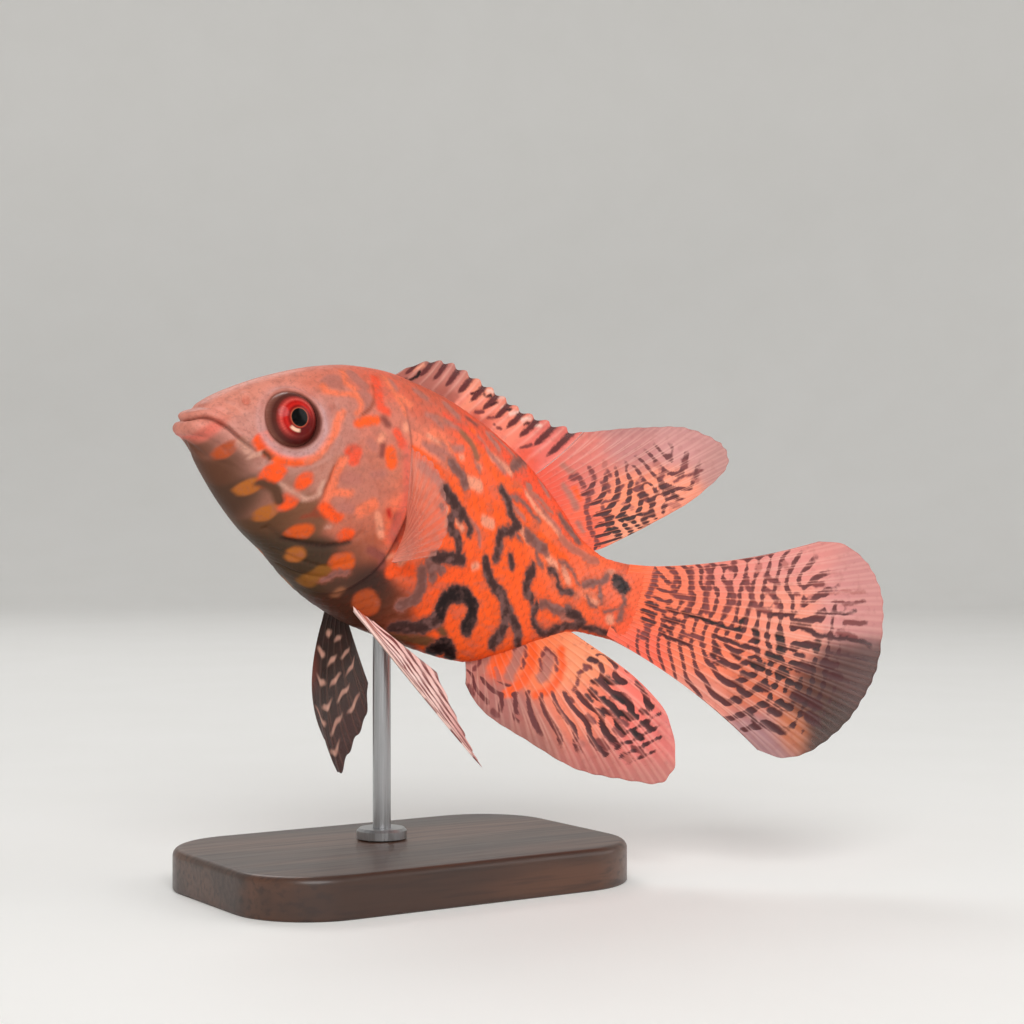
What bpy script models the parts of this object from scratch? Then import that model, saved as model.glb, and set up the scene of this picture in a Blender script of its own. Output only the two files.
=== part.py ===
"""An oscar fish, half grown, as a life-size still model held over a base by a rod.

Fish frame: x runs from the snout to the tail along the backbone, y to the fish's right and z to its back.
pose() bends the backbone to the fish's left, tips the head up and lifts the fish over its base.
Angles round the body run from the back, 0, over the left side to the belly, 180 degrees.
"""

import bmesh
import bpy
import numpy as np

MM = 0.001
GAP = 0.3 * MM

# Pose
HEAD_UP = np.radians(22)
TAIL_SWING = np.radians(45)
BEND_START, BEND_END = 45 * MM, 115 * MM
SNOUT_AT = np.array([-64.0, 13.8, 89.2]) * MM

# Body profile in the fish frame: back, belly and half width, as (x, size) in millimetres.
# A section is an ellipse at SIDE_FULLNESS 1, and flatter in the flank below that.
BACK = [(-1, 0.6), (0, 2.6), (2, 6), (6.5, 10.8), (13, 16.2), (20.8, 21.4), (28, 24.8), (38, 27.2),
        (48, 27.6), (58, 26.6), (66, 24.6), (74, 21.4), (82, 16.4), (89, 11.2), (95, 9.2), (101, 9.6)]
BELLY = [(-1, 0.4), (0, -1.2), (2, -2.6), (7, -6.7), (13.3, -11), (19, -14), (25, -16.2), (31, -19),
         (39, -21.4), (48, -22.4), (66, -21.8), (73, -20.8), (80, -16.6), (87, -11.2), (94, -7), (101, -6.6)]
WIDTH = [(-1, 0.6), (0, 3), (2, 4.4), (6, 5.8), (12, 7.4), (20, 9.2), (28, 10.6), (38, 11.2),
         (48, 10.8), (58, 9.6), (68, 7.8), (78, 5.8), (88, 4), (95, 3), (101, 2.2)]
SIDE_FULLNESS = 0.9
SNOUT_TIP, STEM_START, STEM_END = -1 * MM, 92 * MM, 101 * MM
SEGMENTS, HEAD_RINGS, TRUNK_RINGS, STEM_RINGS = 40, 28, 22, 6
SNOUT_CROWDING = 1.6

# Rear edge of the gill cover, as (angle from the back, x in millimetres). It stands off the flank
# between two angles, reaching its full step over a few degrees.
GILL_EDGE = [(0, 34.5), (40, 37.7), (72, 42), (95, 44.8), (116, 44.2), (143, 40.5), (180, 31)]
GILL_STEP, GILL_ROOT = 0.8 * MM, 6 * MM
FLAP_FROM, FLAP_TO, FLAP_EASE = 38, 172, 27

# Head: the mouth line from the tip of the snout to the end of the jaw, as (x, z) in millimetres
MOUTH = [(-1, 0.9), (1, 1.8), (3, 2.3), (5.5, 2.0), (9, 0.8), (13.4, -0.6)]
MOUTH_CUT, MOUTH_DEPTH, MOUTH_STEPS = 0.5 * MM, 1.0 * MM, 31
LIP_RISE, LIP_WIDTH, LIP_CREST = 0.75 * MM, 1.5 * MM, 0.7
EYE_AT = np.array([17.1, -6.5, 8.0]) * MM
EYE_RADIUS, EYE_HALF_DEPTH = 5.6 * MM, 4.2 * MM
EYE_TILT = np.radians(8)
NOSTRIL_AT = np.array([8.0, -5.4, 8.3]) * MM
NOSTRIL_RADII = np.array([0.65, 0.9, 0.45]) * MM

# Fins: half thickness of a ray, of the membrane between rays, of the rim and of the foot on the body.
# The foot thins out over FOOT_SHARE of the fin, and the rays sink into the rim past RIM_SHARE.
RAY, WEB, RIM = 0.5 * MM, 0.29 * MM, 0.25 * MM
MEDIAN_FOOT, TAIL_FOOT, PAIRED_FOOT = 0.75 * MM, 1.2 * MM, 0.6 * MM
PAIRED_RAY = 0.42 * MM
FOOT_SHARE, RIM_SHARE = 0.14, 0.55

# Stand
BASE, BASE_CORNER, BASE_BRIM = np.array([84, 56, 8]) * MM, 16 * MM, 1.5 * MM
BASE_AT = np.array([44, -6]) * MM
ROD_RADIUS, ROD_FOOT, FOOT_HEIGHT, FOOT_BEVEL = 1.8 * MM, 5 * MM, 2 * MM, 0.5 * MM
ROD_X = 55 * MM


def through(points, at):
    """A smooth curve through (x, value) points that never overshoots them (monotone cubic)."""
    knots, values = np.array(points, float).T
    span = np.diff(knots)
    slope = np.diff(values) / span
    tangent = np.concatenate([slope[:1], np.zeros(len(knots) - 2), slope[-1:]])
    before, after = slope[:-1], slope[1:]
    turn = before * after > 0
    early, late = 2 * span[1:] + span[:-1], span[1:] + 2 * span[:-1]
    tangent[1:-1][turn] = ((early + late)[turn]
                           / (early[turn] / before[turn] + late[turn] / after[turn]))
    i = np.clip(np.searchsorted(knots, at) - 1, 0, len(span) - 1)
    t = np.clip((at - knots[i]) / span[i], 0, 1)
    return ((1 + 2 * t) * (1 - t) ** 2 * values[i] + t * (1 - t) ** 2 * span[i] * tangent[i]
            + t * t * (3 - 2 * t) * values[i + 1] + t * t * (t - 1) * span[i] * tangent[i + 1])


def profile(points, x):
    """A body profile at x, both in metres."""
    return MM * through(points, np.asarray(x, float) / MM)


def edge_curve(points, t):
    """A fin's outline: (t, x, z) points in millimetres, read at t from 0 to 1."""
    table = np.array(points, float)
    return MM * np.stack([through(table[:, (0, k)], t) for k in range(1, table.shape[1])], -1)


def heading(x):
    """How far the backbone has turned to the left at x."""
    t = np.clip((x - BEND_START) / (BEND_END - BEND_START), 0, 1)
    return TAIL_SWING * t * t * (3 - 2 * t)


def backbone(x):
    """Where the bent backbone runs: the integral of its heading, from the snout."""
    grid = np.linspace(-20 * MM, 200 * MM, 2201)
    turn = heading(grid)
    along = np.concatenate([[0], np.cumsum(np.cos(turn)[1:] + np.cos(turn)[:-1]) / 2 * np.diff(grid)])
    aside = np.concatenate([[0], np.cumsum(np.sin(turn)[1:] + np.sin(turn)[:-1]) / 2 * np.diff(grid)])
    return (np.interp(x, grid, along) - np.interp(0, grid, along),
            np.interp(0, grid, aside) - np.interp(x, grid, aside))


def pose(points):
    """Fish frame to world: bend the tail, tip the head up, lift the fish over its base."""
    x, y, z = np.moveaxis(np.asarray(points, float), -1, 0)
    along, aside = backbone(x)
    turn = heading(x)
    forward, left = along + y * np.sin(turn), aside + y * np.cos(turn)
    c, s = np.cos(HEAD_UP), np.sin(HEAD_UP)
    return np.stack([forward * c + z * s, left, z * c - forward * s], -1) + SNOUT_AT


def surface(x, angle):
    """The body's skin in the fish frame, without relief."""
    top, bottom, width = profile(BACK, x), profile(BELLY, x), profile(WIDTH, x)
    side = np.sin(angle)
    y = -width * np.sign(side) * np.abs(side) ** SIDE_FULLNESS
    z = (top + bottom) / 2 + (top - bottom) / 2 * np.cos(angle)
    return np.stack([np.broadcast_to(x, y.shape), y, z], -1)


def side_y(x, z):
    """Half width of the body at x and height z."""
    top, bottom = profile(BACK, x), profile(BELLY, x)
    level = np.clip((2 * z - top - bottom) / np.maximum(top - bottom, MM), -1, 1)
    return profile(WIDTH, x) * (1 - level ** 2) ** (SIDE_FULLNESS / 2)


def material(name, colour, roughness, metallic=0.0):
    made = bpy.data.materials.new(name)
    made.use_nodes = True
    shader = made.node_tree.nodes["Principled BSDF"]
    shader.inputs["Base Color"].default_value = (*colour, 1)
    shader.inputs["Roughness"].default_value = roughness
    shader.inputs["Metallic"].default_value = metallic
    made.diffuse_color = (*colour, 1)
    return made


def collection(name, hidden=False):
    made = bpy.data.collections.new(name)
    bpy.context.scene.collection.children.link(made)
    made.hide_render = hidden
    return made


def add(name, vertices, faces, into, finish=None):
    """A closed mesh object with its faces pointing out, shaded smooth."""
    mesh = bpy.data.meshes.new(name)
    mesh.from_pydata(np.asarray(vertices).reshape(-1, 3).tolist(), [], faces)
    shape = bmesh.new()
    shape.from_mesh(mesh)
    bmesh.ops.recalc_face_normals(shape, faces=shape.faces)
    shape.to_mesh(mesh)
    shape.free()
    mesh.shade_smooth()
    mesh.set_sharp_from_angle(angle=np.radians(40))
    obj = bpy.data.objects.new(name, mesh)
    into.objects.link(obj)
    if finish:
        mesh.materials.append(finish)
    else:
        obj.hide_render = True
        obj.display_type = "WIRE"
    return obj


def tube(name, rings, into, finish=None):
    """Rings of points joined into a closed tube; each end is closed in strips from side to side."""
    count, around = rings.shape[:2]
    faces = [(i * around + j, i * around + (j + 1) % around,
              (i + 1) * around + (j + 1) % around, (i + 1) * around + j)
             for i in range(count - 1) for j in range(around)]
    for first in (0, (count - 1) * around):
        half = around // 2
        faces += [(first, first + 1, first + around - 1),
                  (first + half - 1, first + half, first + half + 1)]
        faces += [(first + j, first + j + 1, first + around - j - 1, first + around - j)
                  for j in range(1, half - 1)]
    return add(name, rings, faces, into, finish)


def normals(grid):
    """Unit normals of a grid of points, from the differences along its rows and columns."""
    down, across = np.gradient(grid, axis=0), np.gradient(grid, axis=1)
    normal = np.cross(down, across)
    return normal / np.maximum(np.linalg.norm(normal, axis=-1, keepdims=True), 1e-12)


def lips(points):
    """How far the lips stand out: two soft ridges beside the mouth line, fading at the jaw's end."""
    x, z = points[..., 0], points[..., 2]
    offset = np.abs(z - profile(MOUTH, x)) / LIP_WIDTH
    fade = np.clip(1 - x / (MOUTH[-1][0] * MM), 0, 1) ** 0.7
    return LIP_RISE * fade * np.exp(-2.5 * (offset - LIP_CREST) ** 2)


def from_back(angle):
    """Degrees from the back, 0 to 180 on both sides."""
    return np.abs((np.degrees(angle) + 180) % 360 - 180)


def gill_flap(x, angle, edge):
    """How far the gill cover's rear edge stands off the flank, on the sides only."""
    side = from_back(angle)
    on_side = np.clip((side - FLAP_FROM) / FLAP_EASE, 0, 1) * np.clip((FLAP_TO - side) / FLAP_EASE, 0, 1)
    return GILL_STEP * on_side * np.clip(1 - (edge - x) / GILL_ROOT, 0, 1) ** 1.5


def gill_edge(angle):
    """Where the gill cover ends at each angle round the body."""
    return MM * through(GILL_EDGE, from_back(angle))


def head_rings():
    """Rings crowded towards the snout, the last one along the gill cover's edge."""
    angle = np.linspace(0, 2 * np.pi, SEGMENTS, endpoint=False)
    share = np.linspace(0, 1, HEAD_RINGS)[:, None] ** SNOUT_CROWDING
    edge = gill_edge(angle)
    x = SNOUT_TIP + (edge - SNOUT_TIP) * share
    points = surface(x, np.broadcast_to(angle, x.shape))
    wrapped = np.concatenate([points[:, -1:], points, points[:, :1]], 1)
    out = normals(wrapped)[:, 1:-1]
    out *= np.sign((out * (points - points.mean(1, keepdims=True))).sum(-1, keepdims=True) + 1e-12)
    points = points + out * lips(points)[..., None]
    points[..., 1] -= np.sign(np.sin(angle)) * gill_flap(x, angle, edge)
    return points


def body_rings(start, end, count):
    angle = np.linspace(0, 2 * np.pi, SEGMENTS, endpoint=False)
    x = start + (end - start) * np.linspace(0, 1, count)[:, None] * np.ones(SEGMENTS)
    return surface(x, np.broadcast_to(angle, x.shape))


def mouth_cutter(into):
    """A thin wedge that follows the mouth line from one jaw end round the snout to the other."""
    share = np.linspace(-1, 1, MOUTH_STEPS)
    x = SNOUT_TIP + (MOUTH[-1][0] * MM - SNOUT_TIP) * share ** 2
    z = profile(MOUTH, x)
    line = np.stack([x, side_y(x, z) * np.sign(share)], -1)
    along = np.gradient(line, axis=0)
    out = np.stack([-along[:, 1], along[:, 0]], -1) / np.linalg.norm(along, axis=1)[:, None]
    inner, outer = -MOUTH_DEPTH * (1 - 0.6 * share ** 2), np.full(MOUTH_STEPS, LIP_WIDTH)
    rings = [np.column_stack([line + out * reach[:, None], z + rise])
             for reach, rise in ((outer, MOUTH_CUT / 2), (inner, MOUTH_CUT / 6),
                                 (inner, -MOUTH_CUT / 6), (outer, -MOUTH_CUT / 2))]
    return tube("mouth_cutter", pose(np.stack(rings, 1)), into)


def mirrored(points, side):
    """The left side's points for side -1, and their mirror image for side 1."""
    return np.asarray(points) * [1, -side, 1]


def ball(name, centre, radii, tilt, into, finish=None):
    """An ellipsoid in the fish frame, turned about x by tilt, then posed."""
    shape = bmesh.new()
    bmesh.ops.create_uvsphere(shape, u_segments=20, v_segments=12, radius=1)
    points = np.array([vertex.co for vertex in shape.verts]) * radii
    faces = [[vertex.index for vertex in face.verts] for face in shape.faces]
    shape.free()
    c, s = np.cos(tilt), np.sin(tilt)
    points = points @ np.array([[1, 0, 0], [0, c, s], [0, -s, c]])
    return add(name, pose(points + centre), faces, into, finish)


def eye(side, name, grow, into, finish=None):
    radii = np.array([EYE_RADIUS, EYE_HALF_DEPTH, EYE_RADIUS]) + grow
    return ball(name, mirrored(EYE_AT, side), radii, side * EYE_TILT, into, finish)


def cut(obj, cutters):
    """Cut each cutter out, apply the cuts and keep the largest closed surface."""
    for cutter in cutters:
        modifier = obj.modifiers.new(cutter.name, "BOOLEAN")
        modifier.object = cutter
    bpy.context.view_layer.update()
    mesh = bpy.data.meshes.new_from_object(obj.evaluated_get(bpy.context.evaluated_depsgraph_get()))
    obj.modifiers.clear()
    obj.data = mesh
    shape = bmesh.new()
    shape.from_mesh(mesh)
    left, shells = set(shape.verts), []
    while left:
        shell, edge = set(), {left.pop()}
        while edge:
            shell |= edge
            edge = {e.other_vert(v) for v in edge for e in v.link_edges} - shell
        left -= shell
        shells.append(shell)
    largest = max(shells, key=len)
    bmesh.ops.delete(shape, geom=[v for v in shape.verts if v not in largest], context="VERTS")
    shape.to_mesh(mesh)
    shape.free()


def blade(name, middle, normal, half, into, finish):
    """A closed thin sheet: two faces half apart from the middle grid, split into triangles alike."""
    columns, rows = half.shape
    left, right = middle + normal * half[..., None], middle - normal * half[..., None]
    count = columns * rows

    def at(i, j):
        return i * rows + j

    faces = []
    for i in range(columns - 1):
        for j in range(rows - 1):
            a, b, c, d = at(i, j), at(i + 1, j), at(i + 1, j + 1), at(i, j + 1)
            faces += [(a, b, c), (a, c, d),
                      (a + count, c + count, b + count), (a + count, d + count, c + count)]
    rim = ([at(i, 0) for i in range(columns)]
           + [at(columns - 1, j) for j in range(1, rows)]
           + [at(i, rows - 1) for i in range(columns - 2, -1, -1)]
           + [at(0, j) for j in range(rows - 2, 0, -1)])
    for a, b in zip(rim, rim[1:] + rim[:1]):
        faces += [(a, a + count, b + count), (a, b + count, b)]
    return add(name, pose(np.stack([left, right])), faces, into, finish)


def ray_shares(rays):
    """Where the columns of a fin lie, 0 to 1, with a ray at every other column."""
    share = np.linspace(0, 1, 2 * rays - 1)
    return share, np.arange(len(share)) % 2 == 0


def thickness(is_ray, along, root, ray=RAY, web=WEB):
    """Half thickness of a fin: root at the body, ridges on the rays, thin at the rim."""
    crest = np.where(is_ray, ray, web)[:, None]
    body = crest + (root - crest) * np.clip(1 - along / FOOT_SHARE, 0, 1)
    return body + (RIM - body) * np.clip((along - RIM_SHARE) / (1 - RIM_SHARE), 0, 1)


def median_fin(name, roots, tips, is_ray, notch, root, rows, into, finish, bow=0.0):
    """A fin in the fish's own plane: rays from roots to tips, bowed across.

    The web is cut back by notch between the tips, and bow is a ray's height over its chord, as a share."""
    along = np.linspace(0, 1, rows) ** 1.15
    tips = np.where(is_ray[:, None], tips, tips + (roots - tips) * notch)
    ray = (tips - roots)[:, None]
    across = ray[..., ::-1] * [-1, 1]
    arch = np.broadcast_to(bow, len(roots))[:, None] * 4 * along * (1 - along)
    flat = roots[:, None] + ray * along[:, None] + across * arch[..., None]
    middle = np.stack([flat[..., 0], np.zeros(flat.shape[:2]), flat[..., 1]], -1)
    half = thickness(is_ray, along, root)
    return blade(name, middle, np.array([0, 1, 0]), half, into, finish)


# Fin outlines as (share along the base, x, z) in millimetres
SPINE_TIPS = [(0, 40, 29.6), (0.12, 45, 33.6), (0.25, 49.8, 35.1), (0.5, 60, 34.1),
              (0.75, 70, 32.5), (1, 81.7, 33)]
DORSAL_TIPS = [(0, 82.4, 33.2), (0.18, 93.5, 38.3), (0.34, 102.7, 40.9), (0.48, 110, 39.6),
               (0.6, 112.6, 35.6), (0.74, 108.8, 27.8), (0.88, 101, 18.9), (1, 94, 11.9)]
ANAL_TIPS = [(0, 75.2, -24.8), (0.08, 77.6, -27), (0.17, 81.5, -29.2), (0.3, 90, -31.3),
             (0.46, 103, -33.9), (0.6, 112, -33), (0.7, 119, -31.6), (0.78, 120.8, -27.5),
             (0.87, 116.8, -18.6), (0.94, 107, -12.2), (1, 96.5, -8.9)]
TAIL_TIPS = [(0, 138, 26), (0.1, 143.5, 24.7), (0.2, 147.8, 21.4), (0.32, 151.2, 15.6), (0.5, 153.4, 3),
             (0.66, 151.8, -6), (0.8, 148, -13.6), (0.9, 143.4, -18.3), (1, 137.4, -20.3)]
DORSAL_ROOTS = (37.5 * MM, 74.6 * MM), (75.3 * MM, 91 * MM)
ANAL_ROOTS = 73.5 * MM, 91.4 * MM
TAIL_ROOTS = 9.2 * MM, -6.2 * MM


def back_fins(into, finish):
    """The dorsal fin: 13 spines whose tips stand out of the web, then 20 soft rays that lean back."""
    for name, rays, (start, end), tips, notch, rows in (
            ("dorsal_fin_spiny", 13, DORSAL_ROOTS[0], SPINE_TIPS, 0.12, 5),
            ("dorsal_fin_soft", 20, DORSAL_ROOTS[1], DORSAL_TIPS, 0.02, 7)):
        share, is_ray = ray_shares(rays)
        x = start + (end - start) * share
        roots = np.stack([x, profile(BACK, x) + GAP], -1)
        median_fin(name, roots, edge_curve(tips, share), is_ray, notch, MEDIAN_FOOT, rows,
                   into, finish, bow=-0.03)


def anal_fin(into, finish):
    """Three short spines, then 16 soft rays."""
    share, is_ray = ray_shares(19)
    x = ANAL_ROOTS[0] + (ANAL_ROOTS[1] - ANAL_ROOTS[0]) * share
    roots = np.stack([x, profile(BELLY, x) - GAP], -1)
    median_fin("anal_fin", roots, edge_curve(ANAL_TIPS, share), is_ray, 0.02, MEDIAN_FOOT, 7,
               into, finish, bow=0.03)


def tail_fin(into, finish):
    """A fan of 21 rays, its outer ones bowed."""
    share, is_ray = ray_shares(21)
    z = TAIL_ROOTS[0] + (TAIL_ROOTS[1] - TAIL_ROOTS[0]) * share
    roots = np.stack([np.full_like(z, STEM_END + GAP), z], -1)
    median_fin("tail_fin", roots, edge_curve(TAIL_TIPS, share), is_ray, 0.015, TAIL_FOOT, 10,
               into, finish, bow=-0.04 * np.cos(np.pi * share))


def paired_fin(name, side, roots, tips, is_ray, lay, bow, sag, rows, into, finish):
    """A fin beside the body: rays from roots to tips, the first ones bowed ahead, the sheet cupped by sag.

    The first row lies along the body, split along lay, so that it meets the skin face to face."""
    along = np.linspace(0, 1, rows) ** 1.1
    share = np.linspace(0, 1, len(roots))[:, None]
    ahead = roots[0] - roots[-1] + tips[0] - tips[-1]
    ahead = ahead / np.linalg.norm(ahead)
    middle = roots[:, None] + (tips - roots)[:, None] * along[:, None]
    middle = middle + (bow * (1 - share) * 4 * along * (1 - along))[..., None] * ahead
    normal = normals(middle)
    middle = middle + normal * (sag * np.sin(np.pi * share) * along)[..., None]
    normal = normals(middle)
    lay = np.asarray(lay) / np.linalg.norm(lay)
    normal[:, 0] = lay * np.sign((normal[:, 1] * lay).sum(-1))[:, None]
    half = thickness(is_ray, along, PAIRED_FOOT, ray=PAIRED_RAY)
    return blade(name, mirrored(middle, side), mirrored(normal, side), half, into, finish)


# Paired fins: tips as (share along the base, x, y, z) in millimetres, on the left side.
# The pectoral fins stand out from the flank, their base given as (x, z).
PECTORAL_BASE = np.array([(47.2, -3.2), (46.6, -9.4)]) * MM
PECTORAL_TIPS = [(0, 38, -17.5, 11.1), (0.25, 40.4, -21, 9.4), (0.5, 43.1, -24.5, 4.7),
                 (0.75, 46.2, -25.5, -1.6), (1, 49, -21, -6.9)]
PECTORAL_SAG = -0.8 * MM

# The left pelvic fin trails and the right one hangs. Their base is given as (x, distance from the middle).
PELVIC_BASE = np.array([(43.4, 4.6), (47.8, 4.0)]) * MM
PELVIC_SAG = 0.4 * MM
PELVIC_BOW = {"pelvic_fin_left": 1.8 * MM, "pelvic_fin_right": 3.2 * MM}
PELVIC_TIPS = {
    "pelvic_fin_left": [(0, 81.7, -14.5, -40.7), (0.25, 79.6, -13, -38.7), (0.5, 76, -10.5, -35),
                        (0.75, 71.6, -8, -30.6), (1, 66.5, -6, -25.4)],
    "pelvic_fin_right": [(0, 57.3, -14, -44), (0.25, 61.7, -12.5, -49.8), (0.5, 61, -10, -44.4),
                         (0.75, 60.8, -7.5, -38.2), (1, 58, -5.5, -31)],
}


def pectoral_fin(side, name, into, finish):
    share, is_ray = ray_shares(12)
    base = PECTORAL_BASE[0] + (PECTORAL_BASE[1] - PECTORAL_BASE[0]) * share[:, None]
    skin = side_y(base[:, 0], base[:, 1])
    roots = np.stack([base[:, 0], -skin - 1.5 * GAP, base[:, 1]], -1)
    tips = edge_curve(PECTORAL_TIPS, share)
    tips = np.where(is_ray[:, None], tips, tips + (roots - tips) * 0.03)
    return paired_fin(name, side, roots, tips, is_ray, (1, 0, 0.1), 0, PECTORAL_SAG, 7, into, finish)


def pelvic_fin(side, name, into, finish):
    share, is_ray = ray_shares(7)
    base = PELVIC_BASE[0] + (PELVIC_BASE[1] - PELVIC_BASE[0]) * share[:, None]
    angle = np.pi - np.arcsin((base[:, 1] / profile(WIDTH, base[:, 0])) ** (1 / SIDE_FULLNESS))
    roots = surface(base[:, 0], angle) - [0, 0, 1.6 * GAP]
    tips = edge_curve(PELVIC_TIPS[name], share)
    tips = np.where(is_ray[:, None], tips, tips + (roots - tips) * 0.03)
    return paired_fin(name, side, roots, tips, is_ray, (0.1, 1, -0.25), PELVIC_BOW[name], PELVIC_SAG, 9,
                      into, finish)


def stand_base(into, finish):
    """A flat plate with round corners and an eased top edge, its underside at z = 0."""
    shape = bmesh.new()
    bmesh.ops.create_cube(shape, size=1)
    centre = np.array([*(SNOUT_AT[:2] + BASE_AT), BASE[2] / 2])
    for vertex in shape.verts:
        vertex.co = np.array(vertex.co) * BASE + centre
    upright = [e for e in shape.edges if abs(e.verts[0].co.z - e.verts[1].co.z) > BASE[2] / 2]
    bmesh.ops.bevel(shape, geom=upright, offset=BASE_CORNER, segments=7, profile=0.5, affect="EDGES")
    brim = [e for e in shape.edges if min(v.co.z for v in e.verts) > 0.9 * BASE[2]]
    bmesh.ops.bevel(shape, geom=brim, offset=BASE_BRIM, segments=3, profile=0.5, affect="EDGES")
    points = np.array([vertex.co for vertex in shape.verts])
    faces = [[vertex.index for vertex in face.verts] for face in shape.faces]
    shape.free()
    return add("stand_base", points, faces, into, finish)


def stand_rod(into, finish):
    """An upright rod on a small round foot, its top cut to the slope of the belly."""
    belly = pose(np.array([ROD_X, 0, profile(BELLY, ROD_X)]))
    ahead = pose(np.array([ROD_X + MM, 0, profile(BELLY, ROD_X + MM)]))
    rise = (ahead - belly)[2] / (ahead - belly)[0]
    angle = np.linspace(0, 2 * np.pi, 24, endpoint=False)
    circle = np.stack([np.cos(angle), np.sin(angle)], -1)
    floor = BASE[2] + GAP
    rings = []
    for radius, height in ((ROD_FOOT, floor), (ROD_FOOT, floor + FOOT_HEIGHT - FOOT_BEVEL),
                           (ROD_FOOT - FOOT_BEVEL, floor + FOOT_HEIGHT), (ROD_RADIUS, floor + FOOT_HEIGHT),
                           (ROD_RADIUS, None)):
        flat = circle * radius
        top = belly[2] - 1.3 * GAP + flat[:, 0] * rise
        rings.append(np.column_stack([belly[:2] + flat, top if height is None else np.full(24, height)]))
    return tube("stand_rod", np.stack(rings), into, finish)


def build():
    for obj in list(bpy.data.objects):
        bpy.data.objects.remove(obj)
    fish, cutters = collection("oscar_fish"), collection("cutters", hidden=True)
    skin = material("skin", (0.75, 0.2, 0.09), 0.4)
    membrane = material("fin membrane", (0.72, 0.35, 0.3), 0.45)
    iris = material("eye", (0.35, 0.02, 0.02), 0.15)
    wood = material("dark wood", (0.09, 0.05, 0.03), 0.45)
    steel = material("brushed steel", (0.55, 0.55, 0.56), 0.3, 1.0)

    head = tube("head", pose(head_rings()), fish, skin)
    sides = ((-1, "left"), (1, "right"))
    tools = [eye(side, "socket_" + where, GAP, cutters) for side, where in sides]
    tools += [ball("nostril_" + where, mirrored(NOSTRIL_AT, side), NOSTRIL_RADII, 0, cutters)
              for side, where in sides]
    cut(head, tools + [mouth_cutter(cutters)])
    angle = np.linspace(0, 2 * np.pi, SEGMENTS, endpoint=False)
    tube("trunk", pose(body_rings(gill_edge(angle) + 1.4 * GAP, STEM_START, TRUNK_RINGS)), fish, skin)
    tube("tail_stem", pose(body_rings(STEM_START + GAP, STEM_END, STEM_RINGS)), fish, skin)
    for side, where in sides:
        eye(side, "eye_" + where, 0, fish, iris)
        pectoral_fin(side, "pectoral_fin_" + where, fish, membrane)
        pelvic_fin(side, "pelvic_fin_" + where, fish, membrane)
    back_fins(fish, membrane)
    anal_fin(fish, membrane)
    tail_fin(fish, membrane)
    stand_base(fish, wood)
    stand_rod(fish, steel)


build()
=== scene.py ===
"""Looks of a young red tiger oscar: one skin with its markings, eyes, rayed fins, and the stand it rests on.

Fish frame, in millimetres: x from the snout to the tail along the backbone, y to the fish's right, z to its back.
pose() bends it, tips it head up and sets it over the base, in metres. Angles round the body run from the back, 0,
over the left side to the belly, 180 degrees.
"""

import bpy
import numpy as np
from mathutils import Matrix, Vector


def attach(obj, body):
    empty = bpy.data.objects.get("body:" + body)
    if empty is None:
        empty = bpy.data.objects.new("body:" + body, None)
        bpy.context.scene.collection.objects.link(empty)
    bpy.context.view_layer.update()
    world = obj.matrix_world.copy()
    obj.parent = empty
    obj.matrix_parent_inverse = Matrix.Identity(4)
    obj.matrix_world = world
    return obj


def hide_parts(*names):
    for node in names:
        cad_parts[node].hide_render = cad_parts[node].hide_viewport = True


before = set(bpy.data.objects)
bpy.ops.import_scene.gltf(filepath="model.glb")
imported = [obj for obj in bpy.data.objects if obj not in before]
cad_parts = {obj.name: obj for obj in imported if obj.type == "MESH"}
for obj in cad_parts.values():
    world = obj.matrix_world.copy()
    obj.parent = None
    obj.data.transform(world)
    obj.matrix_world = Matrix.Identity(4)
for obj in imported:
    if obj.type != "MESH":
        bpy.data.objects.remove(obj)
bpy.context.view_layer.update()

MM = 0.001

# Pose, as in the part
HEAD_UP, TAIL_SWING = np.radians(22), np.radians(45)
BEND_START, BEND_END = 45, 115
SNOUT_AT = np.array([-64.0, 13.8, 89.2])

# Body: back, belly and half width as (x, size), and the gill cover's rear edge as (angle, x)
BACK = [(-1, 0.6), (0, 2.6), (2, 6), (6.5, 10.8), (13, 16.2), (20.8, 21.4), (28, 24.8), (38, 27.2),
        (48, 27.6), (58, 26.6), (66, 24.6), (74, 21.4), (82, 16.4), (89, 11.2), (95, 9.2), (101, 9.6), (104, 10)]
BELLY = [(-1, 0.4), (0, -1.2), (2, -2.6), (7, -6.7), (13.3, -11), (19, -14), (25, -16.2), (31, -19),
         (39, -21.4), (48, -22.4), (66, -21.8), (73, -20.8), (80, -16.6), (87, -11.2), (94, -7), (101, -6.6), (104, -6.6)]
WIDTH = [(-1, 0.6), (0, 3), (2, 4.4), (6, 5.8), (12, 7.4), (20, 9.2), (28, 10.6), (38, 11.2),
         (48, 10.8), (58, 9.6), (68, 7.8), (78, 5.8), (88, 4), (95, 3), (101, 2.2), (104, 0.6)]
SIDE_FULLNESS = 0.9
SNOUT_TIP, STEM_END = -1, 104
GILL_EDGE = [(0, 34.5), (40, 37.7), (72, 42), (95, 44.8), (116, 44.2), (143, 40.5), (180, 31)]
GILL_STEP, GILL_ROOT = 0.8, 6
FLAP_FROM, FLAP_TO, FLAP_EASE = 38, 172, 27

# Head
MOUTH = [(-1, 0.5), (0, 1.1), (1, 1.8), (3, 2.3), (5.5, 2.0), (9, 0.8), (13.4, -0.6)]
LIP_RISE = 0.75
EYE_AT, EYE_RADII, EYE_TILT = np.array([17.1, -6.5, 8.0]), np.array([5.6, 4.2, 5.6]), np.radians(8)
NOSTRIL = (8.0, 8.3)

# Wooden base
BASE, BASE_CORNER, BASE_BRIM = np.array([84, 56, 8]), 16, 1.5
BASE_AT = np.array([-20, 7.8])


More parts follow.
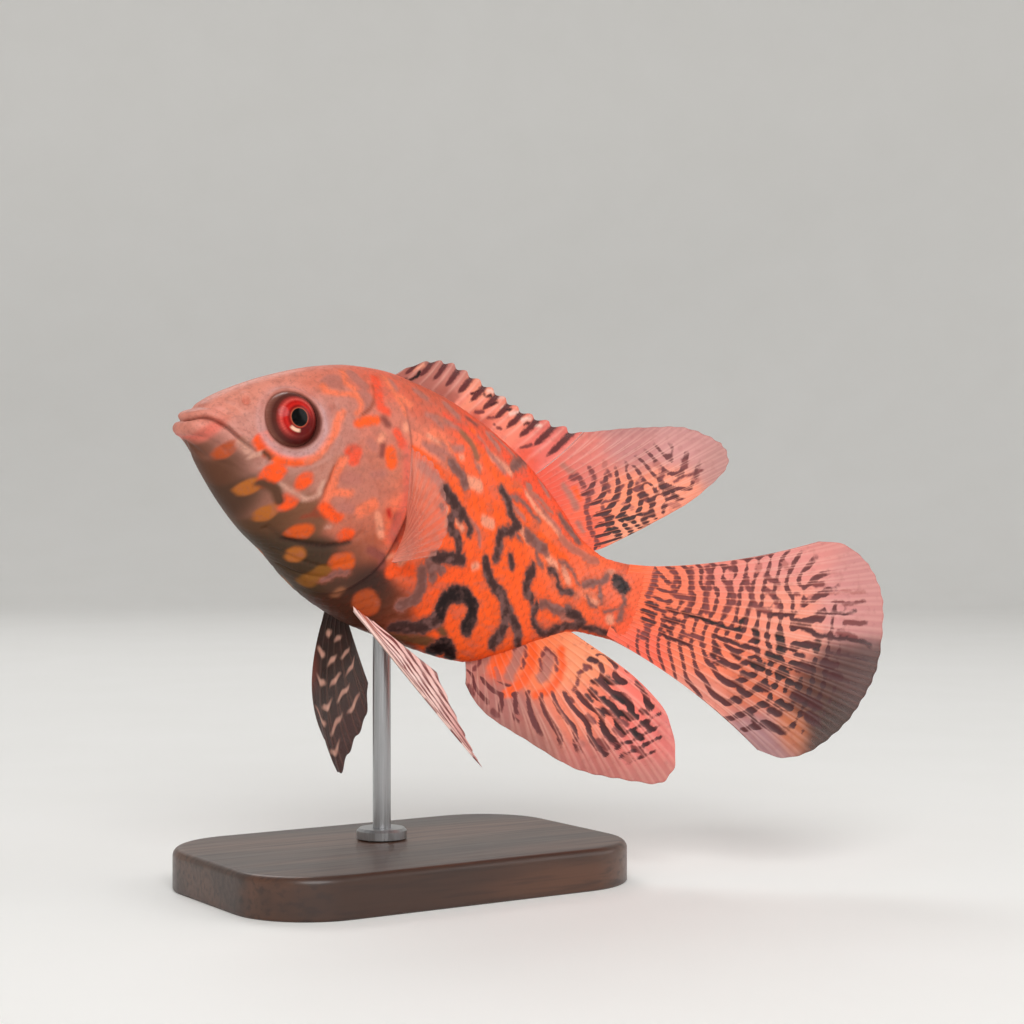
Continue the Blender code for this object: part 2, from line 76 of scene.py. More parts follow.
def through(points, at):
    """A smooth curve through (x, value) points that never overshoots them (monotone cubic)."""
    knots, values = np.array(points, float).T
    span = np.diff(knots)
    slope = np.diff(values) / span
    tangent = np.concatenate([slope[:1], np.zeros(len(knots) - 2), slope[-1:]])
    before, after = slope[:-1], slope[1:]
    turn = before * after > 0
    early, late = 2 * span[1:] + span[:-1], span[1:] + 2 * span[:-1]
    tangent[1:-1][turn] = (early + late)[turn] / (early[turn] / before[turn] + late[turn] / after[turn])
    i = np.clip(np.searchsorted(knots, at) - 1, 0, len(span) - 1)
    t = np.clip((at - knots[i]) / span[i], 0, 1)
    return ((1 + 2 * t) * (1 - t) ** 2 * values[i] + t * (1 - t) ** 2 * span[i] * tangent[i]
            + t * t * (3 - 2 * t) * values[i + 1] + t * t * (t - 1) * span[i] * tangent[i + 1])


def smooth(value, low, high):
    """0 below low, 1 above high, and a smooth S between."""
    t = np.clip((value - low) / (high - low), 0, 1)
    return t * t * (3 - 2 * t)


def bump(value, width):
    """A bell: 1 at 0, falling to 1/e at width."""
    return np.exp(-(value / width) ** 2)


def heading(x):
    """How far the backbone has turned to the left at x: the swing times a smooth S."""
    return TAIL_SWING * smooth(x, BEND_START, BEND_END)


def backbone(x):
    """Where the bent backbone runs: the integral of its heading, from the snout."""
    grid = np.linspace(-20, 200, 2201)
    turn = heading(grid)
    along = np.concatenate([[0], np.cumsum(np.cos(turn)[1:] + np.cos(turn)[:-1]) / 2 * np.diff(grid)])
    aside = np.concatenate([[0], np.cumsum(np.sin(turn)[1:] + np.sin(turn)[:-1]) / 2 * np.diff(grid)])
    return (np.interp(x, grid, along) - np.interp(0, grid, along),
            np.interp(0, grid, aside) - np.interp(x, grid, aside))


def pose(points):
    """Fish frame in millimetres to the model in metres: bend the tail, tip the head up, lift."""
    x, y, z = np.moveaxis(np.asarray(points, float), -1, 0)
    along, aside = backbone(x)
    turn = heading(x)
    forward, left = along + y * np.sin(turn), aside + y * np.cos(turn)
    c, s = np.cos(HEAD_UP), np.sin(HEAD_UP)
    return MM * (np.stack([forward * c + z * s, left, z * c - forward * s], -1) + SNOUT_AT)


def surface(x, angle):
    """The body without relief: y is the half width times a power of the sine, z half the depth times the cosine."""
    top, bottom, width = through(BACK, x), through(BELLY, x), through(WIDTH, x)
    side = np.sin(angle)
    y = -width * np.sign(side) * np.abs(side) ** SIDE_FULLNESS
    z = (top + bottom) / 2 + (top - bottom) / 2 * np.cos(angle)
    return np.stack([x + 0 * y, y, z], -1)


def side_y(x, z):
    """Half width of the body at x and height z."""
    top, bottom = through(BACK, x), through(BELLY, x)
    level = np.clip((2 * z - top - bottom) / np.maximum(top - bottom, 1), -1, 1)
    return through(WIDTH, x) * (1 - level ** 2) ** (SIDE_FULLNESS / 2)


def outward(x, angle):
    """Unit normals of the body, from small steps along it and round it."""
    step, turn = 0.05, 0.01
    normal = np.cross(surface(x, angle + turn) - surface(x, angle - turn),
                      surface(x + step, angle) - surface(x - step, angle))
    return normal / np.maximum(np.linalg.norm(normal, axis=-1, keepdims=True), 1e-9)


def from_back(angle):
    """Degrees from the back, 0 to 180 on both sides."""
    return np.abs((np.degrees(angle) + 180) % 360 - 180)


def girth(x, angle):
    """Distance over the skin from the back's ridge, read from a table of summed steps round each section."""
    places, turns = np.linspace(SNOUT_TIP, STEM_END, 120), np.linspace(0, np.pi, 181)
    ring = surface(places[:, None], turns[None])
    table = np.concatenate([np.zeros((120, 1)), np.cumsum(np.linalg.norm(np.diff(ring, axis=1), axis=-1), 1)], 1)
    u = np.clip((x - SNOUT_TIP) / (STEM_END - SNOUT_TIP) * 119, 0, 118.999)
    v = np.clip(from_back(angle), 0, 179.999)
    i, j = u.astype(int), v.astype(int)
    u, v = u - i, v - j
    return ((table[i, j] * (1 - u) + table[i + 1, j] * u) * (1 - v)
            + (table[i, j + 1] * (1 - u) + table[i + 1, j + 1] * u) * v)


def unrolled(points):
    """(x, z) points of the left side laid flat: x, and the distance over the skin from the back's ridge."""
    x, z = np.array(points, float).T
    top, bottom = through(BACK, x), through(BELLY, x)
    level = np.clip((2 * z - top - bottom) / (top - bottom), -1, 1)
    return np.stack([x, girth(x, np.arccos(level))], -1)


def curve(points, finer=4):
    """A smooth line through flat points: each coordinate as a curve of the distance along them."""
    points = np.array(points, float)
    reach = np.concatenate([[0], np.cumsum(np.linalg.norm(np.diff(points, axis=0), axis=1))])
    at = np.linspace(0, reach[-1], finer * (len(points) - 1) + 1)
    return np.stack([through(np.column_stack([reach, points[:, k]]), at) for k in (0, 1)], -1)


def distance(plane, line, reach):
    """Distance from each flat point to a line, worked out only within reach of its box."""
    near = ((plane > line.min(0) - reach) & (plane < line.max(0) + reach)).all(1)
    close, found = plane[near], np.full(near.sum(), np.inf)
    for start, end in zip(line[:-1], line[1:]):
        along = end - start
        t = np.clip((close - start) @ along / max(along @ along, 1e-9), 0, 1)
        found = np.minimum(found, np.linalg.norm(close - start - t[:, None] * along, axis=1))
    result = np.full(len(plane), 99.0)
    result[near] = found
    return result


def linear(colour):
    """A display colour, 0 to 255, as the light it stands for."""
    share = np.array(colour) / 255
    return np.where(share < 0.04045, share / 12.92, ((share + 0.055) / 1.055) ** 2.4)


def blend_places(plane, places):
    """Colour from named places, (x, across, reach, colour): their average, weighted by bells of their reach."""
    total, weight = np.zeros((len(plane), 3)), np.zeros((len(plane), 1))
    for x, across, reach, colour in places:
        w = bump(np.hypot(plane[:, 0] - x, plane[:, 1] - across), reach)[:, None] + 1e-12
        total += w * linear(colour)
        weight += w
    return total / weight


def brush(colour, plane, strokes, edge=1.0):
    """Lay soft strokes, (colour, half width, points), over the colour."""
    for tone, half, line in strokes:
        cover = smooth(half - distance(plane, line, half + edge), -edge / 2, edge / 2)[:, None]
        colour = colour * (1 - cover) + linear(tone) * cover
    return colour


def marks(plane, strokes):
    """Dark strokes, (darkness, half width, points), as how far inside the nearest a point is, and its darkness."""
    inside, ink = np.full(len(plane), -3.0), np.zeros(len(plane))
    for dark, half, line in strokes:
        depth = half - distance(plane, line, half + 3)
        ink = np.where(depth > inside, dark, ink)
        inside = np.maximum(depth, inside)
    return inside, ink


class Wire:
    """A socket in a material's nodes. Python's + - * / and ** on wires and numbers add Math nodes."""

    def __init__(self, tree, socket=None):
        self.tree, self.socket = tree, socket

    def node(self, kind, settings=None, inputs=None, output=0):
        """Any node: its type, its settings, then the values or wires of its sockets, by number or name."""
        made = self.tree.nodes.new("ShaderNode" + kind)
        for key, value in (settings or {}).items():
            if key == "stops":
                ramp = made.color_ramp.elements
                for i, (place, colour) in enumerate(value):
                    stop = ramp[i] if i < 2 else ramp.new(place)
                    stop.position, stop.color = place, (*linear(colour), 1)
            else:
                setattr(made, key, value)
        for key, value in (inputs or {}).items():
            if isinstance(value, Wire):
                self.tree.links.new(value.socket, made.inputs[key])
            else:
                made.inputs[key].default_value = value
        return Wire(self.tree, made.outputs[output] if made.outputs else None)

    def maths(self, operation, *values):
        return self.node("Math", {"operation": operation}, dict(enumerate(values)))

    def __add__(self, other):
        return self.maths("ADD", self, other)

    def __radd__(self, other):
        return self.maths("ADD", other, self)

    def __sub__(self, other):
        return self.maths("SUBTRACT", self, other)

    def __rsub__(self, other):
        return self.maths("SUBTRACT", other, self)

    def __mul__(self, other):
        return self.maths("MULTIPLY", self, other)

    def __rmul__(self, other):
        return self.maths("MULTIPLY", other, self)

    def __truediv__(self, other):
        return self.maths("DIVIDE", self, other)

    def __rtruediv__(self, other):
        return self.maths("DIVIDE", other, self)

    def __pow__(self, other):
        return self.maths("POWER", self, other)


def new_finish(name):
    """An empty material, and the wire its nodes are made from."""
    material = bpy.data.materials.new(name)
    material.use_nodes = True
    material.node_tree.nodes.clear()
    return material, Wire(material.node_tree)


def attribute(start, name, output=2):
    """A field kept on the mesh: output 0 as a colour, 1 as a vector, 2 as a number."""
    return start.node("Attribute", {"attribute_name": name}, output=output)


def step(value, low, high, bottom=0.0, top=1.0):
    """A smooth step between low and high, from bottom to top."""
    return value.node("MapRange", {"interpolation_type": "SMOOTHSTEP"},
                      {0: value, 1: low, 2: high, 3: bottom, 4: top})


def mix(share, first, second, blend="MIX"):
    """first where share is 0, second where it is 1."""
    first, second = ((*linear(c), 1) if isinstance(c, tuple) else c for c in (first, second))
    return share.node("Mix", {"data_type": "RGBA", "blend_type": blend}, {0: share, 6: first, 7: second}, 2)


def grain(start, size, detail=2.0, stretch=(1, 1, 1)):
    """Noise on the model's own coordinates, with features about size metres across."""
    place = start.node("TexCoord", output=3)
    place = start.node("Mapping", {}, {"Vector": place, "Scale": stretch})
    return start.node("TexNoise", {}, {"Vector": place, "Scale": 1 / size, "Detail": detail})


def finish_with(start, **inputs):
    """The shader and the output; names of sockets with _ for the space."""
    shader = start.node("BsdfPrincipled", {}, {key.replace("_", " "): value for key, value in inputs.items()})
    start.node("OutputMaterial", {}, {"Surface": shader})


def fraction(value):
    return value.maths("FRACT", value) if isinstance(value, Wire) else value - np.floor(value)


def larger(first, second):
    return first.maths("MAXIMUM", first, second) if isinstance(first, Wire) else np.maximum(first, second)


def scale_shape(column, row):
    """Overlapping scales, 0 to 1: the larger of two sets of saw teeth half a scale apart, bent back to the sides."""
    heights = []
    for shift in (0, 1):
        across = 2 * fraction((row + shift) / 2) - 1
        bend = across * across
        heights.append(fraction(column + shift / 2 + 0.62 * bend) - 0.75 * bend)
    return larger(*heights)


def quads(rows, columns, closed=False):
    """Faces of a grid as corner numbers; closed joins the last column to the first."""
    index = np.arange(rows * columns).reshape(rows, columns)
    if closed:
        index = np.concatenate([index, index[:, :1]], 1)
    return np.stack([index[:-1, :-1], index[:-1, 1:], index[1:, 1:], index[1:, :-1]], -1).reshape(-1, 4)


def piece(name, points, faces, finish, slot, replaces=(), stage=False, **fields):
    """A mesh from points in metres and arrays of faces, turned outwards, with fields kept on its points."""
    corners = np.concatenate([points[f[:, [0, i, i + 1]]] for f in faces for i in range(1, f.shape[1] - 1)])
    if np.linalg.det(corners).sum() < 0 and not stage:
        faces = [f[:, ::-1] for f in faces]
    mesh = bpy.data.meshes.new(name)
    mesh.from_pydata(points.tolist(), [], [face for f in faces for face in f.tolist()])
    mesh.shade_smooth()
    mesh.materials.append(finish)
    for key, values in fields.items():
        kind, entry = ("FLOAT", "value") if values.ndim == 1 else ("FLOAT_COLOR", "color")
        if values.ndim == 2:
            values = np.column_stack([values, np.ones(len(values))])
        mesh.attributes.new(key, kind, "POINT").data.foreach_set(entry, values.astype(np.float32).ravel())
    obj = bpy.data.objects.new(name, mesh)
    bpy.context.scene.collection.objects.link(obj)
    if stage:
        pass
    else:
        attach(obj, "root")
        if replaces:
            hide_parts(*replaces)
    return obj


def capped_tube(rings):
    """Points and faces of rings joined into a closed tube, with a point in the middle of each end."""
    rows, columns = rings.shape[:2]
    points = np.concatenate([rings.reshape(-1, 3), rings[:1].mean(1), rings[-1:].mean(1)])
    around = np.arange(columns)
    last = (rows - 1) * columns
    first_cap = np.stack([np.full(columns, rows * columns), np.roll(around, -1), around], -1)
    last_cap = np.stack([np.full(columns, rows * columns + 1), last + around, last + np.roll(around, -1)], -1)
    return points, [quads(rows, columns, closed=True), first_cap, last_cap]


def with_ends(field):
    """A tube's field with its two end points added."""
    return np.concatenate([field.reshape(-1, *field.shape[2:]), field[:1].mean(1), field[-1:].mean(1)])


# Colours by place on the left side: (x, z, reach, colour). The dark places on the throat, behind the gill cover's lower
# edge and on the belly are partly the fish's own colour and partly painted shade.
SKIN_PLACES = [
    (1, 4, 3, (217, 138, 120)), (6, 9, 4, (218, 138, 118)), (12, 15, 5, (217, 135, 115)),
    (22, 21, 5, (215, 120, 98)), (32, 25, 5, (226, 105, 79)), (44, 26, 5, (214, 98, 72)),
    (58, 25, 5, (232, 88, 58)), (72, 20, 5, (250, 81, 43)), (84, 13, 4, (250, 88, 52)),
    (3, 3.6, 1.6, (220, 136, 120)), (3, -0.4, 1.6, (222, 110, 94)), (9, 3, 3, (206, 140, 126)),
    (1.5, -2.6, 1.2, (160, 92, 74)), (4, -3.5, 2, (104, 62, 44)), (9, -5, 3, (92, 54, 34)),
    (14, -9, 3, (78, 50, 34)), (14, 1.5, 3, (196, 136, 122)), (20, 0, 3, (180, 126, 112)),
    (20, -5, 3, (150, 98, 80)), (25, 2, 3, (188, 124, 107)), (26, 9, 3, (193, 127, 113)),
    (24, 15, 3, (197, 126, 111)), (25, -9, 3, (122, 76, 52)), (22, -11, 2.4, (86, 56, 34)), (24, -14, 3, (66, 48, 32)),
    (32, -17, 3, (66, 46, 28)), (33, 2, 4, (194, 118, 100)), (38, 8, 4, (201, 115, 92)),
    (35, 14, 4, (209, 120, 100)), (36, -5, 3, (196, 108, 84)), (39, -9, 3, (168, 88, 62)),
    (38, -14, 3, (84, 52, 38)), (33, -13.4, 2.4, (66, 48, 34)), (38, -10.4, 2, (112, 66, 48)), (43, -14, 3, (54, 34, 28)), (46, -19, 4, (74, 40, 27)),
    (54, -20, 4, (110, 50, 27)), (46, 12, 4, (246, 127, 94)), (47, 4, 4, (244, 119, 83)),
    (48, -5, 4, (238, 104, 65)), (54, 0, 4, (255, 98, 45)), (60, 8, 5, (255, 96, 40)),
    (60, 15, 5, (253, 96, 50)), (60, -8, 5, (255, 90, 31)), (62, -15, 4, (250, 88, 27)),
    (72, 2, 5, (255, 94, 34)), (72, -12, 5, (252, 92, 29)), (76, -19, 3, (250, 88, 31)),
    (82, 6, 4, (252, 108, 63)), (84, -6, 4, (255, 94, 38)), (92, 5, 4, (254, 108, 65)),
    (93, -3, 4, (255, 100, 50)), (99, 6, 3, (253, 108, 70)), (99, -5, 3, (252, 96, 59)),
]

# Tones of the soft strokes. The ridge tone paints highlights on the head's folds and ridges, and also the far pelvic
# fin's pale spots; the shade tone and the darkest brown tone, used along the fold under the jaw, paint shade.
TONES = {"spot": (250, 84, 24), "dull": (176, 98, 34), "amber": (214, 84, 20), "pale": (242, 152, 120),
         "mauve": (186, 112, 98), "band": (252, 92, 30), "salmon": (240, 120, 84), "red": (240, 84, 54),
         "rust": (142, 62, 38), "ridge": (208, 154, 134), "shade": (88, 54, 36), "wine": (140, 70, 60),
         "blood": (188, 40, 28), "olive_and_belly_shade": (112, 70, 42), "moss": (150, 92, 62), "rosy": (222, 128, 108),
         "white": (250, 212, 196), "pink": (244, 138, 116),
         "brick": (178, 74, 30), "ochre": (132, 80, 22), "fold_shade": (50, 28, 18)}
INKS = {"black": 1.0, "dark": 0.88, "mid": 0.66, "faint": 0.4}

# Soft strokes on the left side: tone, half width, then (x, z) points. The shade strokes below the eye, the darkest
# stroke along the fold under the jaw and the long dark stroke low on the belly are painted shade; the ridge strokes on
# the head are painted highlights along its folds.
SOFT = [
    ("band", 1.2, (42.3, 12.4), (47.3, 11.7), (50.9, 10.8), (54.5, 9.6), (58.7, 8.8), (63.4, 8.6),
     (68, 9.3)),
    ("band", 1.1, (56.1, 22.3), (59, 19.8), (61.2, 17.7), (63.9, 16.3), (67.4, 15.5), (71, 15.9)),
    ("band", 0.9, (71.9, 11.9), (75.6, 9.9), (79.4, 8.1), (83, 6.7), (86.6, 5.5)),
    ("pale", 1.2, (57.8, 12), (60.7, 12.2)), ("pale", 1.0, (64.5, 6.1), (66.7, 6.2)),
    ("pale", 0.8, (62.4, 19.2), (65.1, 18.8), (67.9, 18.1)),
    ("pale", 0.6, (73.2, 15.4), (76.5, 13.2), (79.4, 12.3), (82.1, 10.9), (84.2, 9.6)),
    ("pale", 0.8, (74.3, 7.7), (76.5, 6.5)), ("pale", 0.8, (81.2, 5.5), (83, 4.2), (84.6, 3.6)),
    ("pale", 0.9, (86.8, 3.4), (88.2, 1.7)), ("pale", 0.9, (92.7, 0.6), (95.3, -0.7)),
    ("pale", 0.8, (99.1, -2.7), (99.5, -3.3)), ("pale", 0.5, (45, 16.7), (48, 16.5)),
    ("spot", 1.2, (12.3, 2.4), (13.5, 1.4)), ("brick", 1.4, (7, -1.9), (7.6, -2.6)),
    ("dull", 1.7, (13.8, -6.8), (14.5, -6.9)), ("brick", 2.6, (45.3, -17.9), (46.4, -18.5)),
    ("moss", 0.9, (39.2, -18.8), (39.6, -17.7)), ("salmon", 0.8, (37.5, 21.6), (39.7, 21.2)),
    ("mauve", 1.0, (44.9, 10.4), (47.1, 9.9), (49.6, 9.3), (51, 8.9)),
    ("mauve", 0.8, (49.1, 16.7), (51.5, 16.7), (53.8, 17.7)),
    ("mauve", 0.6, (44.4, 14.7), (47.1, 14.2), (49.9, 13.9)),
    ("moss", 0.8, (53.1, 21), (55.1, 20.2), (57, 19), (58.2, 17.5)),
    ("wine", 0.9, (40.9, -9), (43.3, -9), (44.5, -10.7)), ("wine", 1.0, (54.7, -6.8), (57, -8.4)),
    ("mauve", 1.7, (22.5, 18.8), (23.9, 19.1)), ("mauve", 1.0, (26.4, 22.2), (28, 21.3), (29.4, 20.4)),
    ("mauve", 1.4, (29.1, 18.5), (30, 18.1), (29.9, 16.1)),
    ("rust", 0.3, (31.1, 21.6), (31.8, 19.7), (31.2, 16.7), (29.8, 14.7)),
    ("salmon", 0.5, (25, 22.2), (25.6, 19.6), (27.4, 19)),
    ("salmon", 0.6, (21.1, 17.2), (22.1, 16.3), (24.2, 16.8), (26.6, 17.6), (27.9, 18)),
    ("red", 0.9, (31.6, 23.4), (32.5, 20.5), (33.2, 17.8), (34.8, 17.4)),
    ("band", 1.1, (29.6, 12.8), (30.9, 13.8), (32.7, 14.7)),
    ("salmon", 0.9, (25.6, 13.1), (25.4, 11.4), (25.4, 9.7), (24.9, 7.3), (24.1, 5.9)),
    ("red", 1.2, (29.4, 7.1), (30.7, 7), (30.7, 5.5)),
    ("salmon", 0.8, (28.7, 4.5), (28.2, 2.9), (28.5, 1.1)), ("wine", 0.7, (35.6, 10.7), (36, 8.8)),
    ("band", 1.2, (37.5, 10.1), (38.4, 8.1)), ("wine", 0.7, (34.3, 15.7), (35.6, 15)),
    ("red", 0.9, (37.7, 14.2), (39.4, 12.4)), ("pale", 0.6, (39.1, 16.4), (39.3, 15.6)),
    ("pale", 0.6, (34.9, 12.7), (34.7, 11.4)), ("mauve", 0.8, (34.9, 24.2), (36, 23.1)),
    # the ridge stroke on this line is a painted highlight on a fold of the head
    ("band", 1.0, (14.6, 0.9), (17, 0.4), (20.4, 1), (22.4, 2)), ("salmon", 0.9, (22.4, 2), (23.8, 3.8), (24.2, 5.6)), ("ridge", 0.6, (12.2, -1.3), (13.4, -0.3)),
    ("shade", 0.4, (14, 0.4), (15.5, -0.6)), ("spot", 2.0, (16.8, -2.5), (17.3, -3.5)),
    ("spot", 1.4, (22.8, -1.6), (23.1, -2.3)), ("spot", 1.7, (21.6, -6.2), (22, -6.9)),
    # painted highlight along the crest of the fold below the eye
    ("ridge", 0.45, (19, -4.4), (20.8, -4.5), (23, -4.9), (25.1, -4.8), (26.6, -3.1), (26.4, -0.9)),
    ("shade", 0.8, (15.6, -5.3), (18.6, -5.4), (20.5, -7.3)), ("dull", 1.6, (19.1, -9.8), (19.4, -10.4)),
    ("amber", 1.6, (25.9, -11.1), (27.3, -10.5)), ("spot", 1.3, (34.6, -8.4), (35.3, -8)),
    ("dull", 1.5, (28.1, -14.6), (28.5, -15.3)), ("amber", 1.9, (36.2, -13.3), (37.3, -12.8)),
    ("ochre", 1.6, (33.2, -18.6), (33.7, -17.4), (34.5, -16)),
    ("rust", 0.35, (27, -6.7), (27.7, -4.4), (27.3, -0.9), (27.5, 2.8)),
    # the ridge stroke on this line is a painted highlight
    ("rust", 0.45, (25.8, -8.2), (28.3, -6.7), (30.1, -6.4)), ("ridge", 0.3, (30.7, -8.3), (31.2, -8.1)),
    ("salmon", 0.9, (28.5, 4.6), (28.4, 1.8), (28.4, -1.2), (28.3, -4.6)),
    ("spot", 1.0, (28.5, -5), (30.8, -5.9), (32, -5.9)), ("salmon", 0.8, (29.4, -1.7), (32.3, -0.7)),
    ("mauve", 1.0, (31.9, -3.6), (33.6, -3.4)), ("salmon", 1.3, (35.9, -3), (37.5, -0.9)),
    ("mauve", 1.2, (30.1, 1.8), (32.4, 2.1)), ("wine", 0.9, (43.3, -0.8), (43.8, -3.9), (45.1, -5.8)),
    ("amber", 0.5, (45.1, -6.4), (45.7, -6.2)), ("blood", 0.5, (41.1, -0.7), (41.8, -1.6)),
    ("pale", 0.5, (44.8, -8.8), (46.9, -7.5), (47.7, -6.1)),
    ("spot", 1.5, (47.3, -10.9), (49.5, -9.4), (51.1, -9.3)), ("pale", 0.7, (39.4, -2.3), (41.6, -5.6)),
    ("pale", 0.5, (54, 15.8), (54.6, 16.1)), ("pale", 0.5, (59.1, 15.9), (59.8, 15.9)),
    ("pale", 0.3, (54, 5.3), (54.6, 4.1), (55.2, 1.5)), ("pale", 0.7, (57.8, 3.6), (59.6, 2.6)),
    # painted shade: the wide dark stroke on this line runs low along the belly
    ("pale", 1.1, (48.7, -6.8), (48.1, -8.3)), ("olive_and_belly_shade", 1.3, (55.5, -21.3), (60.2, -20.4), (64.2, -20.1)),
    ("olive_and_belly_shade", 0.9, (64, -16.9), (65.6, -17.5)), ("pale", 0.6, (65.7, -3.4), (66.7, -2.8)),
    ("red", 0.8, (77.2, 18.3), (82.3, 16.9), (86.6, 14.5), (88.9, 11.9)),
    ("rosy", 0.7, (84.4, 9.2), (86.7, 8.6), (90, 8), (92.7, 7.5)), ("pale", 0.7, (96.2, 6.3), (96.7, 6.4)),
    ("salmon", 0.7, (90.8, -0.6), (93.2, 0.7), (95, 0.6)), ("mauve", 0.7, (89.6, -5.7), (91.5, -5.2)),
    ("mauve", 0.8, (41, 24.8), (43.6, 24.4)), ("mauve", 0.9, (48.6, 25.2), (51.8, 23.9)),
    ("mauve", 0.8, (60.6, 23.6), (63.6, 21.9)), ("mauve", 0.7, (76, 19.4), (78.4, 17.4)),
    ("wine", 0.6, (54.6, 24.8), (57, 24.4)), ("mauve", 0.6, (45.6, 21), (47.8, 20)),
    ("salmon", 0.5, (33.6, 24.6), (36.4, 21.4), (38.8, 18.6)), ("salmon", 0.5, (27.9, 18), (29.4, 16), (28.6, 14.4)),
    ("mauve", 0.9, (35.6, 4.6), (37.4, 5.4)), ("mauve", 0.8, (32.6, 10.4), (34, 9.4)),
    # the ridge stroke on this line is a painted highlight on the ridge from the lips
    ("ridge", 0.5, (9, 0.6), (11.2, -0.9)), ("mauve", 0.9, (22.6, 10.6), (23.4, 13.4)),
    # painted shadow along the fold under the jaw
    ("fold_shade", 0.45, (24.6, -13.1), (28.1, -12.6), (31.5, -11.8), (34.7, -10.2), (36.2, -9.2)),
    ("mauve", 0.6, (43.9, 20.8), (47.4, 21.2), (52, 21.4)), ("mauve", 0.7, (46.4, 15.1), (51.2, 15), (55.3, 12.1)),
    ("mauve", 0.6, (57.9, 21.7), (62.2, 19.4), (66.4, 17.5)), ("mauve", 0.5, (61.5, 24.4), (65.1, 23.4), (68.4, 22)),
    ("mauve", 0.8, (68.6, 24.1), (71.3, 21.4)), ("red", 0.6, (48.3, 22.7), (53.6, 22.1), (59.6, 20.5)),
    ("mauve", 0.5, (67.7, 13.5), (70.3, 11.7), (74.2, 10.2)), ("mauve", 0.45, (60.9, 4.9), (63.7, 3.8), (65.5, 1.2)),
    ("salmon", 0.5, (45.7, 17.8), (48.9, 17.5), (51.5, 15.9)), ("mauve", 0.45, (73.9, 16), (78.7, 13.3), (83.2, 11)),
]

